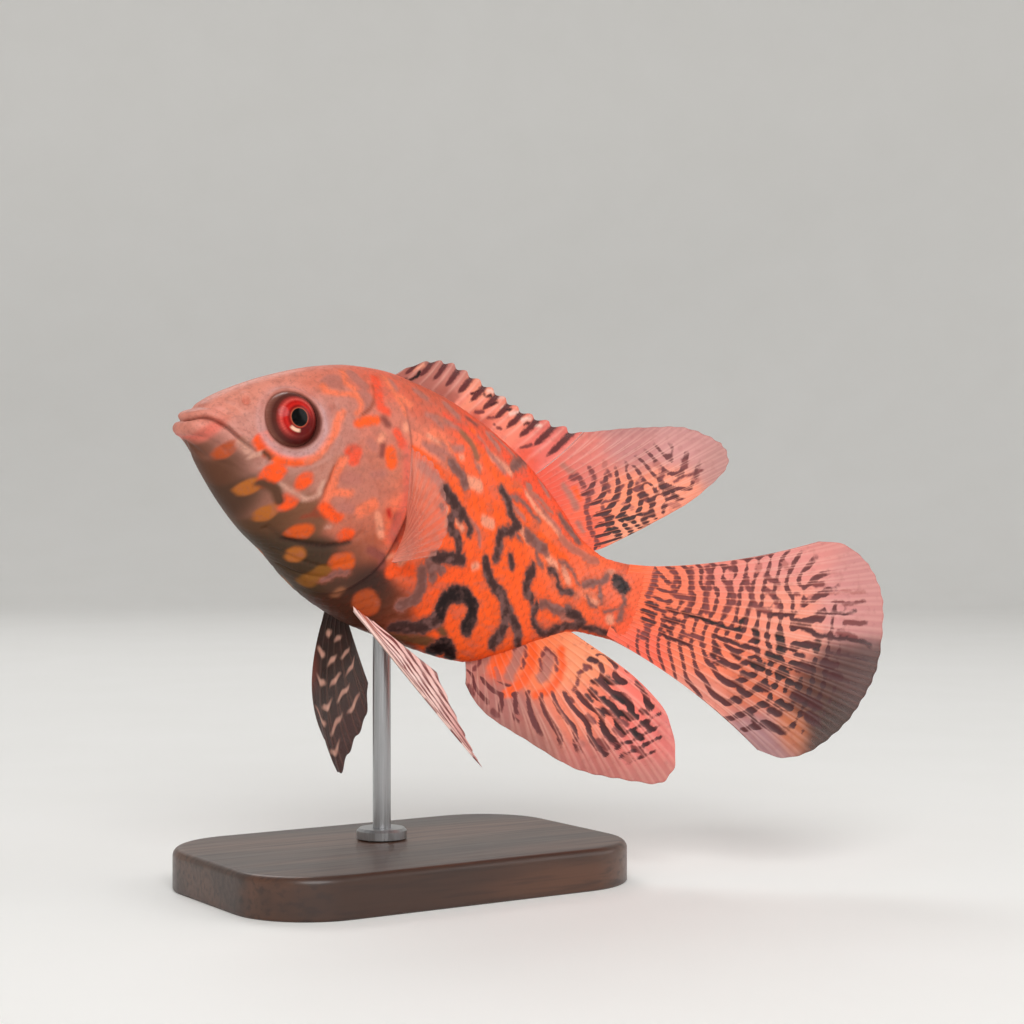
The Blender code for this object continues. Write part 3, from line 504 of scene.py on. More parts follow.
# Dark marks on the left side: ink, half width, then (x, z) points
DARK = [
    ("dark", 1.47, (52.3, 7.9), (54.4, 7.1), (56.5, 6), (58.3, 5.2)),
    ("dark", 1.02, (56.5, 5.3), (56, 3.2), (56.6, 1.8), (58.3, 1), (59.8, 0.1), (60.7, -1.7), (61, -3.2)),
    ("dark", 0.83, (58.2, 5.5), (60.1, 4.5), (61.6, 3.4), (61.8, 2.3)),
    ("dark", 1.28, (55.3, -5.3), (57.5, -4.3), (60, -3.6), (62.2, -3)),
    ("mid", 0.96, (54.7, -6.8), (57, -6.4), (58.4, -6.7)),
    ("mid", 1.34, (53.9, -8.2), (54.7, -9.8), (55.4, -11.4), (55.6, -13), (54.5, -14.5), (52.7, -16.1)),
    ("dark", 1.47, (54.3, -20.3), (56.1, -19.4), (58.3, -18.9), (60.2, -17.9), (61.5, -16.8),
     (62.3, -15.3)),
    ("black", 1.6, (62.7, -14.7), (62, -12.9), (62.5, -11.1), (64.2, -9.7), (66.4, -9.2), (68.6, -9.9),
     (69.7, -11.4), (70, -13.2), (69.8, -14.9)),
    ("black", 1.66, (65.6, -21.5), (66.6, -19.9), (68, -19.5), (69.6, -20.8)),
    ("dark", 1.28, (68.5, -1.4), (69.7, -3.1), (71.5, -4.6), (73.9, -5.8), (75.8, -6.7)),
    ("dark", 1.09, (75.8, -6.7), (76.7, -8.5), (77.7, -10.5), (78.1, -12.2), (77.7, -14), (77, -15.9)),
    ("dark", 1.22, (76.9, -8), (78.9, -9.4), (80.6, -10.7), (81.8, -12.1), (82.5, -13.7)),
    ("dark", 1.02, (74, 1.5), (74.6, 0.4)),
    ("dark", 1.05, (79.9, 1.4), (79.6, -0.4), (79.7, -2.3), (80.3, -3.7), (81.6, -4.5)),
    ("dark", 1.02, (66.9, 13.5), (68.5, 12.6), (69.7, 11.5), (70.8, 9.8), (72.7, 8.7)),
    ("dark", 0.96, (73.3, 8.4), (71.9, 6.5), (69.9, 5.2), (69.6, 3.9), (70.6, 2.3), (70.4, 0.1)),
    ("mid", 0.4, (72.1, 7.1), (74, 6.1), (75.5, 5.5)),
    ("mid", 1.09, (76.2, 7.4), (78.9, 6.4), (81.1, 5.9)),
    ("mid", 0.52, (79.4, 4.9), (80.5, 3.3), (81.7, 2.6)),
    ("dark", 0.6, (83.4, 2.4), (85.1, 2.1), (86.3, 1), (86.6, -0.3), (88, -0.8), (89.7, -0.3)),
    ("mid", 0.34, (85.3, 4.6), (87.4, 4.6), (88.8, 3.6), (89.8, 2.3), (91, 1.7)),
    ("mid", 0.4, (69.6, 13), (71.9, 13.6), (73.9, 12.9), (75.8, 11.9), (77.8, 11.2)),
    ("mid", 1.02, (68.3, 19.5), (69.9, 21.4), (71.6, 22.9)), ("faint", 0.9, (73.6, 16.8), (74.2, 16)),
    ("faint", 0.46, (73.8, 16.4), (76.4, 15.7), (78.7, 14.6), (80.2, 14.2)),
    ("mid", 0.83, (82.5, 13.8), (84, 12.7), (86, 11.7), (87.6, 10.6)),
    ("faint", 0.77, (84.3, 9.2), (86.1, 8.6), (88.3, 8.2), (90.6, 7.5), (92.6, 7.7)),
    ("black", 1.28, (98.3, 5.2), (99.2, 4.5), (100, 3.8)),
    ("mid", 0.52, (100.2, 3.1), (101, 1.2), (101.1, -1.1), (100.9, -2.6)),
    ("mid", 0.7, (91.9, 2), (93.8, 3.1), (95.5, 4.1), (96, 5.2)),
    ("mid", 0.34, (95.1, 2.9), (95.9, 1), (96.7, -0.7)),
    ("mid", 0.4, (93.4, -0.1), (94.6, -1.4), (95.6, -1.5)),
    ("mid", 0.4, (97.7, -1.8), (99, -1.2), (100.2, -0.7)),
    ("mid", 0.85, (84.3, -4.9), (86, -4.5), (87.7, -4.9), (89.3, -4.8)),
    ("dark", 1.15, (90.5, -4.2), (92.2, -4.5), (93.7, -5.4)),
    ("dark", 0.75, (83.4, -5.2), (83.5, -6.8), (84, -8.8), (85.5, -9.8), (87.8, -9.7), (89.5, -8.1),
     (91.1, -6.9), (92.9, -6.5), (94.2, -5.9)),
    ("dark", 0.77, (94.2, -5.9), (96.8, -5.9), (99.2, -5.7), (100.2, -5.1)),
    ("mid", 1.22, (52.1, 13.6), (54.2, 13), (55.9, 12), (56.7, 11.1)),
    ("mid", 0.6, (35.6, -17.3), (36.7, -15.5), (38.8, -14.4)), ("faint", 0.5, (46.5, 21.6), (47.9, 21.2)),
    ("faint", 0.46, (58.1, 16.4), (59.7, 15.1)), ("mid", 0.46, (52.5, 4.7), (53.4, 4.1)),
    ("mid", 1.15, (54.8, -6.8), (57, -8.5)),
]

# Folds in the head's skin: depth, half width, then (x, z) points; a negative depth is a ridge
FOLDS = [
    (0.32, 0.45, (30.4, 7.7), (27.8, 2.7), (28.1, -1.5), (28.5, -4.9), (30.6, -5.6), (34.3, -7.4)),
    (-0.22, 0.8, (29.2, 8), (26.6, 2.9), (26.8, -1.8), (27.2, -5.4), (30.2, -6.8)),
    (0.42, 0.6, (21, -12.4), (25.1, -13.2), (28.1, -12.6), (31.5, -11.8), (34.7, -10.2), (36.6, -8.6), (37.9, -6.6)),
    (0.25, 0.35, (24.5, -15.1), (29, -15.6), (34, -15.2), (38.4, -12.6)),
    (0.25, 0.35, (27.5, -17.2), (32, -17.6), (36.6, -16.6)),
    (-0.4, 0.8, (9.4, 1.9), (11.6, 0.7), (13.2, -1.0)), (0.3, 0.4, (13.8, 1.2), (14.6, -0.8), (14.2, -2.6)),
    (0.22, 0.4, (3.4, 6.2), (6.4, 6.2), (9.6, 4.6), (12, 3.4)), (0.2, 0.4, (1.6, -3.2), (5, -4.2), (10, -4.4), (14, -5)),
    (0.25, 0.5, (23.6, 15), (25.4, 12), (26, 8), (25, 3.6), (22, 0.6), (17.6, -0.6), (13, 0.4)),
]


def wander(plane, amount):
    """Flat points moved by sums of waves one to three millimetres long, so that painted edges wander."""
    x, across = plane.T
    return plane + amount * np.stack([
        np.sin(1.9 * across + 0.7 * np.sin(0.9 * x)) + 0.6 * np.sin(3.7 * across - 1.3 * x + 2),
        np.sin(1.7 * x + 0.8 * np.sin(1.1 * across) + 1) + 0.6 * np.sin(4.1 * x + 1.1 * across)], -1)


def far_side(plane, right):
    """Flat points of the right side moved by slow waves, so that its marks differ from the left one's."""
    x, across = plane.T
    away = smooth(across, 3, 12) * right
    return plane + away[:, None] * np.stack([2.4 * np.sin(0.13 * across + 0.05 * x + 1) + 1.2,
                                             2.0 * np.sin(0.11 * x + 0.6)], -1)


def scale_lattice(x, angle):
    """Columns and rows of the scales: both grow by one in a scale's width, which narrows to head and tail."""
    places = np.linspace(SNOUT_TIP, STEM_END, 400)
    pitch = through([(-1, 1.2), (25, 1.5), (40, 2.2), (62, 2.4), (85, 1.9), (101, 1.4)], places)
    count = np.concatenate([[0], np.cumsum(np.diff(places) / pitch[1:])])
    middle = girth(x, np.full(np.shape(x), np.pi / 2))
    across = (girth(x, angle) - middle) / (0.62 * np.interp(x, places, pitch))
    return np.interp(x, places, count), across


def head_relief(x, z, flat):
    """Lips, jaw, nostril, orbit and the folds of the head's skin, in millimetres out."""
    beside = z - through(MOUTH, x)
    fade = np.clip(1 - x / MOUTH[-1][0], 0, 1)
    lift = LIP_RISE * (0.85 * fade ** 0.6 * bump(beside - 0.95, 0.75) + fade * bump(beside + 1.6, 1.2))
    lift += 0.65 * bump(x - 1.6, 1.5) * bump(beside + 2.9, 1.3)
    lift -= 0.9 * np.minimum(1, 3 * fade) * bump(beside, 0.33)
    lift -= 0.25 * fade ** 0.5 * (bump(beside - 2.3, 0.4) + bump(beside + 3.6, 0.5))
    pit = np.hypot((x - NOSTRIL[0]) / 0.62, (z - NOSTRIL[1]) / 0.85)
    lift += 0.28 * bump(pit - 1.5, 0.5) - 1.0 * bump(pit, 0.9)
    from_eye = np.hypot(x - EYE_AT[0] - 0.1, (z - EYE_AT[2]) - 0.1)
    lift += 0.45 * bump(from_eye - 5.75, 0.55) - 0.25 * bump(from_eye - 7.0, 0.6)
    lift -= 3.6 * smooth(-from_eye, -5.3, -3.9)
    for depth, half, *line in FOLDS:
        lift -= (depth * bump(distance(flat, curve(unrolled(line)), 3 * half + 1), half)).reshape(x.shape)
    return lift


def skin_finish():
    """Moist skin: the painted ground, mottled, with ragged dark marks, pepper of pigment and fine scale edges. The
    ground holds painted shade in the mouth line, the folds, behind the gill cover and on the throat and belly, and
    painted highlights on the head's ridges.
    """
    material, start = new_finish("moist_scaled_skin")
    ground, ink, scaly = attribute(start, "ground", 0), attribute(start, "ink"), attribute(start, "scaly")
    ragged, mottle = grain(start, 0.0008, 3.0), grain(start, 0.0021, 2.0)
    inside = attribute(start, "inside") + (ragged - 0.5) * 1.1 + (mottle - 0.5) * 0.6
    cover = step(inside, -0.25, 0.3)
    fringe = step(inside, -0.9, 0.1) * ink * 0.75
    depth = step(inside, 0.0, 0.9, 0.82, 1.0)
    pigment = start.node("ValToRGB", {"stops": [(0.3, (196, 106, 84)), (0.45, (172, 96, 80)), (0.6, (134, 82, 72)),
                                                (0.8, (80, 50, 46)), (1.0, (30, 15, 15))]}, {"Fac": ink * depth})
    pigment = mix(step(mottle, 0.48, 0.72) * step(ink, 1.0, 0.8, 0.2, 0.6), pigment, (150, 104, 98))
    height = scale_shape(attribute(start, "column"), attribute(start, "row"))
    rim = step(height, 0.7, 0.95) * scaly
    patches = grain(start, 0.0032, 3.0, (0.7, 1, 1))
    bright = step(start.node("SeparateColor", {}, {0: ground}), 0.12, 0.5)
    tone = mix(step(mottle, 0.42, 0.7) * bright * 0.2, ground, (150, 66, 44))
    tone = mix(step(patches, 0.52, 0.66) * bright * 0.34, tone, (166, 100, 86))
    tone = mix(step(ragged, 0.5, 0.68) * bright * (0.3 - scaly * 0.16), tone, (140, 92, 80))
    pepper = step(grain(start, 0.00035, 1.0), 0.6, 0.72)
    tone = mix(pepper * 0.14, tone, (96, 44, 36))
    tone = mix(rim * 0.22, tone, (120, 50, 36))
    tone = mix(fringe, tone, (146, 78, 60))
    tone = mix(cover, tone, pigment)
    relief = height * scaly * 0.6 + ragged * 0.45 + mottle * 0.3
    normal = start.node("Bump", {}, {"Strength": 0.7, "Distance": 0.0002, "Height": relief})
    finish_with(start, Base_Color=tone, Roughness=0.4 + ragged * 0.16, Coat_Weight=0.05, Coat_Roughness=0.2,
                Specular_IOR_Level=0.18, Normal=normal)
    return material


def skin():
    """Head, trunk and tail stem as one tube of rings, folded under along the gill cover's rear edge."""
    head_rows, body_rows, around = 172, 200, 256
    round_body = np.linspace(0, 2 * np.pi, around, endpoint=False)
    angle = round_body + 0.17 * np.sin(2 * round_body)
    side = from_back(angle)
    flap = np.clip((side - FLAP_FROM) / FLAP_EASE, 0, 1) * np.clip((FLAP_TO - side) / FLAP_EASE, 0, 1)
    edge = through(GILL_EDGE, side)
    # Rows of the fold: along, and height as a share of the step
    fold = np.array([(0.12, 0.86), (0.14, 0.45), (-0.35, 0.12), (-0.9, -0.25), (-0.5, -0.3), (0.25, -0.05)])
    flatter = np.linspace(0.04, 0.26, len(fold))[:, None]
    head_x = SNOUT_TIP + (edge - SNOUT_TIP) * np.linspace(0, 1, head_rows)[:, None] ** 1.35
    fold_x = edge + flap * fold[:, :1] + (1 - flap) * flatter
    body_x = edge + 0.45 + (STEM_END - edge - 0.45) * np.linspace(0, 1, body_rows)[:, None] ** 1.04
    x = np.concatenate([head_x, fold_x, body_x])
    angle = np.broadcast_to(angle, x.shape)
    points, out = surface(x, angle), outward(x, angle)
    plane = np.stack([x, girth(x, angle)], -1).reshape(-1, 2)
    right = (np.sin(angle) < 0).ravel()

    lift = head_relief(x, points[..., 2], plane)
    lift[head_rows:] = 0
    bulge = GILL_STEP * flap * np.clip(1 - (edge - head_x) / GILL_ROOT, 0, 1) ** 1.5
    lift[:head_rows] += bulge
    lift[head_rows:head_rows + len(fold)] = GILL_STEP * flap * fold[:, 1:]
    column, row = scale_lattice(x, angle)
    behind_gill = smooth(x - edge, 0.6, 2.5)
    from_eye = np.hypot(x - EYE_AT[0], points[..., 2] - EYE_AT[2])
    cheek = 0.45 * smooth(x, 17, 24) * smooth(from_eye, 6.5, 9) * smooth(edge - x, 0.5, 2)
    scaly = np.maximum(behind_gill, cheek)
    lift += 0.13 * scaly * (scale_shape(column, row) - 0.5)
    points = points + out * lift[..., None]

    places = [(*unrolled([(px, pz)])[0], reach, tone) for px, pz, reach, tone in SKIN_PLACES]
    near = far_side(plane, right)
    warped = wander(near, 0.12)
    ground = blend_places(near, places)
    ground = brush(ground, wander(near, 0.06), [(TONES[tone], half, curve(unrolled(line))) for tone, half, *line in SOFT])
    inside, ink = marks(warped, [(INKS[dark], half, curve(unrolled(line))) for dark, half, *line in DARK])
    behind = smooth(x - EYE_AT[0] - points[..., 2] + EYE_AT[2], -5, 3)
    halo = (bump(from_eye - 6.4, 0.8) * (x < 30) * (0.3 + 0.6 * behind)).reshape(-1, 1)
    ground = ground * (1 - halo) + linear((208, 162, 160)) * halo
    # Painted shade: a dark line along the mouth's parting, and a dark band on the body just behind the gill cover's
    # overhanging edge.
    mouth_line_shade = bump(points[..., 2] - through(MOUTH, x), 0.3) * smooth(-x, -14, -11) * 0.4
    under = np.maximum(mouth_line_shade, 0.7 * bump(x - edge - 0.4, 0.5) * flap)
    ground = ground * (1 - under.reshape(-1, 1)) + linear((62, 30, 26)) * under.reshape(-1, 1)
    # Painted shade: dark red in the gap behind the gill cover's rear edge, strongest low on the side.
    gill_gap_shade = (bump(x - edge - 1.0, 0.9) * flap * bump(points[..., 2] + 3.5, 4.5) * 0.75).reshape(-1, 1)
    ground = ground * (1 - gill_gap_shade) + linear((132, 44, 36)) * gill_gap_shade
    web = bump(edge - x - 1.0, 1.1) * flap * smooth(-points[..., 2], -15, -11) * smooth(points[..., 2], -8, -4) * 0.8
    ground = ground * (1 - web.reshape(-1, 1)) + linear((222, 100, 84)) * web.reshape(-1, 1)
    ring = (smooth(-from_eye, -5.9, -5.2) * (x < 30)).reshape(-1, 1)
    ground = ground * (1 - ring) + linear((112, 60, 52)) * ring

    fields = {"ground": ground.reshape(*x.shape, 3), "inside": inside.reshape(x.shape), "ink": ink.reshape(x.shape),
              "scaly": scaly, "column": column, "row": row}
    tube, faces = capped_tube(pose(points))
    return piece("skin", tube, faces, skin_finish(), "skin", ("head", "trunk", "tail_stem"),
                 **{key: with_ends(values) for key, values in fields.items()})


def eye_finish():
    """Black pupil, a thin gold ring, a red iris with fine streaks, and a dark rim, under a clear coat. One side of the
    iris is darkened as painted shade, and a pale crescent below the pupil is a painted highlight.
    """
    material, start = new_finish("glossy_eye")
    radius, turn = attribute(start, "from_pupil"), attribute(start, "round_pupil")
    streaks = start.node("TexNoise", {"noise_dimensions": "2D"}, {
        "Vector": start.node("CombineXYZ", {}, {0: turn * 9.0, 1: radius * 0.25}), "Scale": 1.6, "Detail": 3.0})
    stops = [(0.0, (3, 2, 3)), (0.28, (6, 4, 4)), (0.295, (170, 88, 62)), (0.32, (156, 44, 32)), (0.36, (128, 16, 14)),
             (0.44, (206, 34, 26)), (0.52, (186, 24, 20)), (0.6, (216, 84, 74)), (0.66, (168, 56, 50)),
             (0.73, (92, 42, 34)), (0.8, (84, 44, 36)), (0.87, (120, 74, 62)), (0.94, (156, 102, 88))]
    ramp = start.node("ValToRGB", {"stops": stops}, {"Fac": radius / 6.0})
    shaded = step(attribute(start, "behind_pupil"), -0.3, 0.9) * step(radius, 1.9, 2.2) * step(radius, 5.2, 4.4) * 0.85
    tone = mix(shaded, ramp, (74, 14, 14))
    tone = mix(step(streaks, 0.35, 0.7) * step(radius, 1.9, 2.6) * 0.3, tone, (90, 10, 10))
    # painted highlight: a pale crescent just below the pupil
    painted_highlight = step(attribute(start, "below_pupil"), 0.86, 0.97) * step(radius, 2.05, 2.3) * step(radius, 2.95, 2.6)
    tone = mix(painted_highlight, tone, (246, 196, 166))
    finish_with(start, Base_Color=tone, Roughness=0.25, Coat_Weight=0.18, Coat_Roughness=0.04,
                Specular_IOR_Level=0.06)
    return material


def eyes():
    """Each eye is an ellipsoid by distance and turn from its pupil, with a swelling cornea over the iris."""
    finish = eye_finish()
    rows, columns = 60, 96
    away = np.linspace(0, np.pi, rows)[1:-1, None]
    turn = np.linspace(0, 2 * np.pi, columns, endpoint=False)
    ring = np.stack([np.sin(away) * np.cos(turn), np.sin(away) * np.sin(turn), np.cos(away) + 0 * turn], -1)
    for side, where in ((-1, "left"), (1, "right")):
        ball = ring[..., [0, 2, 1]] * [1, side, 1] * EYE_RADII
        swell = 1 + 0.02 * bump(away[..., None], 0.45)
        c, s = np.cos(side * EYE_TILT), np.sin(side * EYE_TILT)
        ball = (ball * swell) @ np.array([[1, 0, 0], [0, c, s], [0, -s, c]])
        ball = ball + EYE_AT * [1, -side, 1]
        radius = (np.sin(away) * EYE_RADII[0] * np.where(away < np.pi / 2, 1, 9) + 0 * turn)
        radius = np.minimum(radius, 6)
        tube, faces = capped_tube(pose(ball))
        shade = {"from_pupil": with_ends(radius), "below_pupil": with_ends(0 * away - np.sin(turn)),
                 "behind_pupil": with_ends(0 * away + 0.8 * np.cos(turn) - 0.5 * np.sin(turn)),
                 "round_pupil": with_ends(np.sin(turn) + 2 * np.cos(3 * turn) + 0 * away)}
        shade["from_pupil"][-2] = 0
        piece("eye_" + where + "_globe", tube, faces, finish, "eye", ("eye_" + where,), **shade)


# Fin outlines as (share along the base, x, z)
SPINE_TIPS = [(0, 40, 29.6), (0.12, 45, 33.6), (0.25, 49.8, 35.1), (0.5, 60, 34.1), (0.75, 70, 32.5), (1, 81.7, 33)]
DORSAL_TIPS = [(0, 81.8, 33.05), (0.18, 93.5, 38.3), (0.34, 102.7, 40.9), (0.48, 110, 39.6),
               (0.6, 112.6, 35.6), (0.74, 108.8, 27.8), (0.88, 101, 18.9), (1, 94, 11.9)]
ANAL_TIPS = [(0, 75.2, -24.8), (0.08, 77.6, -27), (0.17, 81.5, -29.2), (0.3, 90, -31.3), (0.46, 103, -33.9),
             (0.6, 112, -33), (0.7, 119, -31.6), (0.78, 120.8, -27.5), (0.87, 116.8, -18.6), (0.94, 107, -12.2),
             (1, 96.5, -8.9)]
TAIL_TIPS = [(0, 135, 25), (0.05, 139.5, 25.9), (0.1, 143.5, 24.7), (0.2, 147.8, 21.4), (0.32, 151.2, 15.6), (0.5, 153.4, 3),
             (0.66, 151.8, -6), (0.8, 148, -13.6), (0.9, 143.4, -18.3), (0.96, 139.4, -19.7), (1, 135.4, -19.4)]
PECTORAL_BASE = np.array([(47.2, -3.2), (46.6, -9.4)])
PECTORAL_TIPS = [(0, 38, -17.5, 11.1), (0.25, 40.4, -21, 9.4), (0.5, 43.1, -24.5, 4.7), (0.75, 46.2, -25.5, -1.6),
                 (1, 49, -21, -6.9)]
PELVIC_BASE = np.array([(43.4, 4.6), (47.8, 4.0)])
PELVIC_TIPS = {-1: [(0, 81.7, -14.5, -40.7), (0.25, 79.6, -13, -38.7), (0.5, 76, -10.5, -35),
                    (0.75, 71.6, -8, -30.6), (1, 66.5, -6, -25.4)],
               1: [(0, 57.3, -14, -44), (0.25, 61.7, -12.5, -49.8), (0.5, 61, -10, -44.4),
                   (0.75, 60.8, -7.5, -38.2), (1, 58, -5.5, -31)]}
PELVIC_BOW = {-1: 1.8, 1: 3.2}


def edge_curve(points, share):
    """A fin's outline read at shares of its base."""
    table = np.array(points, float)
    return np.stack([through(table[:, (0, k)], share) for k in range(1, table.shape[1])], -1)


def membrane_finish():
    """Fin skin between rays: painted ground, dark marks broken by the paler rays, clear towards the rim."""
    material, start = new_finish("fin_membrane")
    crest, along, length = attribute(start, "crest"), attribute(start, "along"), attribute(start, "length")
    ink = attribute(start, "ink")
    ragged = grain(start, 0.0007, 2.0)
    inside = attribute(start, "inside") + (ragged - 0.5) * 0.6 - crest * 0.25
    cover = step(inside, -0.25, 0.3) * (1 - crest * 0.4) * step(ink, 0.0, 0.7, 0.4, 1.0)
    pigment = start.node("ValToRGB", {"stops": [(0.4, (176, 98, 88)), (0.66, (128, 60, 58)), (0.85, (82, 32, 34)),
                                                (1.0, (34, 12, 14))]}, {"Fac": ink})
    ground = attribute(start, "ground", 0)
    bright = step(start.node("SeparateColor", {}, {0: ground}), 0.05, 0.6, 0.25, 1.0)
    tone = mix(crest * step(along, 0.05, 0.6, 0.1, 0.28) * bright, ground, (255, 205, 186))
    tone = mix(step(grain(start, 0.0015, 2.0), 0.5, 0.75) * bright * 0.22, tone, (150, 70, 66))
    tone = mix(cover, tone, pigment)
    joint = step(fraction(length / 0.8), 0.86, 0.95) * crest
    relief = crest * 0.6 - joint * 0.25 + ragged * 0.2
    normal = start.node("Bump", {}, {"Strength": 0.5, "Distance": 0.00015, "Height": relief})
    finish_with(start, Base_Color=tone, Roughness=0.4 + ragged * 0.14, Coat_Weight=0.06, Coat_Roughness=0.2,
                Specular_IOR_Level=0.22, Alpha=1 - attribute(start, "clear") * (1 - crest * 0.25), Normal=normal)
    return material


def labyrinth(seed, size, pitch, lean, turns=40):
    """A seeded maze of bands pitch long: noise kept between two frequencies and sharpened, again and again."""
    rows, columns = size
    field = np.random.default_rng(seed).normal(size=size)
    v, u = np.meshgrid(np.fft.fftfreq(rows), np.fft.fftfreq(columns), indexing="ij")
    wave = np.hypot(u * lean, v) * pitch
    keep = np.exp(-((wave - 1) / 0.28) ** 2) - 0.35 * np.exp(-(wave / 0.5) ** 2)
    for _ in range(turns):
        field = np.tanh(2.2 * np.real(np.fft.ifft2(keep * np.fft.fft2(field))) / 0.8 + 0.05)
        field /= max(np.abs(field).max(), 1e-9)
    return field


def sample(field, u, v):
    """A field read between its points, u and v from 0 to 1."""
    rows, columns = field.shape
    y, x = np.clip(v, 0, 1) * (rows - 1.001), np.clip(u, 0, 1) * (columns - 1.001)
    i, j = y.astype(int), x.astype(int)
    y, x = y - i, x - j
    return ((field[i, j] * (1 - x) + field[i, j + 1] * x) * (1 - y)
            + (field[i + 1, j] * (1 - x) + field[i + 1, j + 1] * x) * y)


def rayed_sheet(name, node, middle, normal, rays, spiny, root, shade):
    """A closed thin sheet: ridged where rays run, the rays forking outwards, thin and notched at the rim."""
    share = np.linspace(0, 1, middle.shape[0])[:, None]
    along = np.linspace(0, 1, middle.shape[1])[None] + 0 * share
    ray = share * (rays - 1)
    off = np.abs(ray - np.round(ray))
    fork = 0.0 * along if spiny else 0.2 * smooth(along, 0.35, 1.0)
    slim = (0.13 if spiny else 0.12) * (1 - 0.4 * along)
    crest = np.maximum(bump(off - fork, slim), bump(off + fork, slim))
    thick, web = (0.36, 0.16) if spiny else (0.27, 0.13)
    half = web + (thick - web) * crest * (1 - 0.6 * along)
    half = half + (root - half) * np.clip(1 - along / 0.16, 0, 1) ** 1.6
    half = half * (1 - 0.65 * smooth(along, 0.93, 1.0))
    length = np.concatenate([np.zeros((len(share), 1)),
                             np.cumsum(np.linalg.norm(np.diff(middle, axis=1), axis=-1), 1)], 1)
    front, back = middle + normal * half[..., None], middle - normal * half[..., None]
    points = pose(np.stack([front, back])).reshape(-1, 3)
    rows, columns = along.shape
    face = quads(rows, columns)
    count = rows * columns
    index = np.arange(count).reshape(rows, columns)
    rim = np.concatenate([index[0, :-1], index[:-1, -1], index[-1, :0:-1], index[:0:-1, 0]])
    after = np.roll(rim, -1)
    faces = [face, face[:, ::-1] + count, np.stack([after, rim, rim + count, after + count], -1)]
    fields = dict(crest=crest, along=along, length=length, **shade(share + 0 * along, along, length, middle))
    both = {key: np.concatenate([v.reshape(count, -1)] * 2).squeeze() for key, v in fields.items()}
    return piece(name, points, faces, MEMBRANE, "fin", (node,), **both)


def flat_shade(places, strokes, clear_from, maze=None, webs=0):
    """Ground, marks and clearness of a fin from (x, z) places and strokes, a maze or dark webs between spines."""
    def shade(share, along, length, middle):
        plane = wander(middle[..., [0, 2]].reshape(-1, 2), 0.12)
        ground = blend_places(plane, places)
        ground = brush(ground, plane, [(TONES[tone], half, curve(line)) for tone, half, *line in strokes
                                       if tone in TONES])
        inside, ink = marks(plane, [(INKS[tone], half, curve(line)) for tone, half, *line in strokes
                                    if tone in INKS])
        inside, ink = inside.reshape(share.shape), ink.reshape(share.shape)
        if maze:
            seed, pitch, lean, first, lead, rows, dark = maze
            deep = bump(np.hypot(plane[:, 0] - dark[0], plane[:, 1] - dark[1]), dark[2]).reshape(share.shape)
            bands = sample(labyrinth(seed, (256, 256), pitch, lean), share, length / 60) * 0.9 - 0.55 + 0.3 * deep
            bands -= 0.4 * np.cos(2 * np.pi * rows * share) * deep
            bands -= 2 * (1 - smooth(along, first, first + 0.12)) + 1.5 * smooth(along, 0.78, 0.97) * (1 - deep)
            bands -= 2 * (1 - smooth(share, lead, lead + 0.2)) * (lead > 0)
            inside, ink = np.maximum(inside, bands), np.where(bands > inside, 0.76 + 0.2 * deep, ink)
        if webs:
            bands = 3 * (0.2 - np.abs(fraction(share * webs) - 0.55)) - 1.2 * (1 - smooth(along, 0.2, 0.6))
            inside, ink = np.maximum(inside, bands), np.where(bands > inside, 0.78, ink)
        return {"ground": ground.reshape(*share.shape, 3), "inside": inside, "ink": ink,
                "clear": 0.22 * smooth(along, clear_from, 1.0)}
    return shade


def median_sheet(name, node, roots, tips, rays, columns, rows, notch, root, bow, shade, spiny=False):
    """A fin in the fish's plane: rays from roots to tips bowed across, the web cut back between tips."""
    share = np.linspace(0, 1, (rays - 1) * columns + 1)
    along = np.linspace(0, 1, rows)
    foot, tip = roots(share), edge_curve(tips, share)
    tip = tip + (foot - tip) * (notch * np.sin(np.pi * share * (rays - 1)) ** 2)[:, None]
    ray = (tip - foot)[:, None]
    across = ray[..., ::-1] * [-1, 1]
    arch = np.broadcast_to(bow(share), len(share))[:, None] * 4 * along * (1 - along)
    flat = foot[:, None] + ray * along[:, None] + across * arch[..., None]
    middle = np.stack([flat[..., 0], 0 * flat[..., 0], flat[..., 1]], -1)
    return rayed_sheet(name, node, middle, np.array([0, 1, 0]), rays, spiny, root, shade)


SOFT_DORSAL_PLACES = [(80, 21, 4, (236, 90, 68)), (88, 15, 4, (246, 104, 74)), (84, 26, 5, (220, 120, 108)),
                      (95, 22, 5, (252, 142, 104)), (104, 26, 4, (250, 150, 120)), (92, 33, 4, (194, 124, 120)),
                      (102, 38, 4, (208, 142, 138)), (110, 34, 3, (198, 138, 132)), (98, 16, 3, (250, 165, 130))]
SPINY_PLACES = [(44, 31, 4, (176, 104, 92)), (50, 33, 3, (200, 122, 110)), (50, 28.5, 2, (170, 90, 76)),
                (58, 32, 3, (244, 146, 118)), (66, 30, 4, (244, 136, 112)), (75, 28, 4, (232, 112, 100)),
                (60, 27.5, 2, (204, 92, 74)), (72, 23.5, 2, (236, 90, 64))]
ANAL_PLACES = [(75, -23, 3, (190, 120, 110)), (82, -27, 4, (176, 108, 100)), (92, -31, 4, (176, 104, 92)),
               (80, -18, 3, (250, 100, 50)), (88, -15, 4, (253, 120, 70)), (95, -14, 4, (254, 150, 105)),
               (100, -22, 5, (244, 130, 100)), (108, -18, 4, (250, 120, 105)), (114, -24, 4, (236, 120, 112)),
               (104, -31, 4, (200, 110, 100)), (116, -30, 3, (205, 120, 110))]
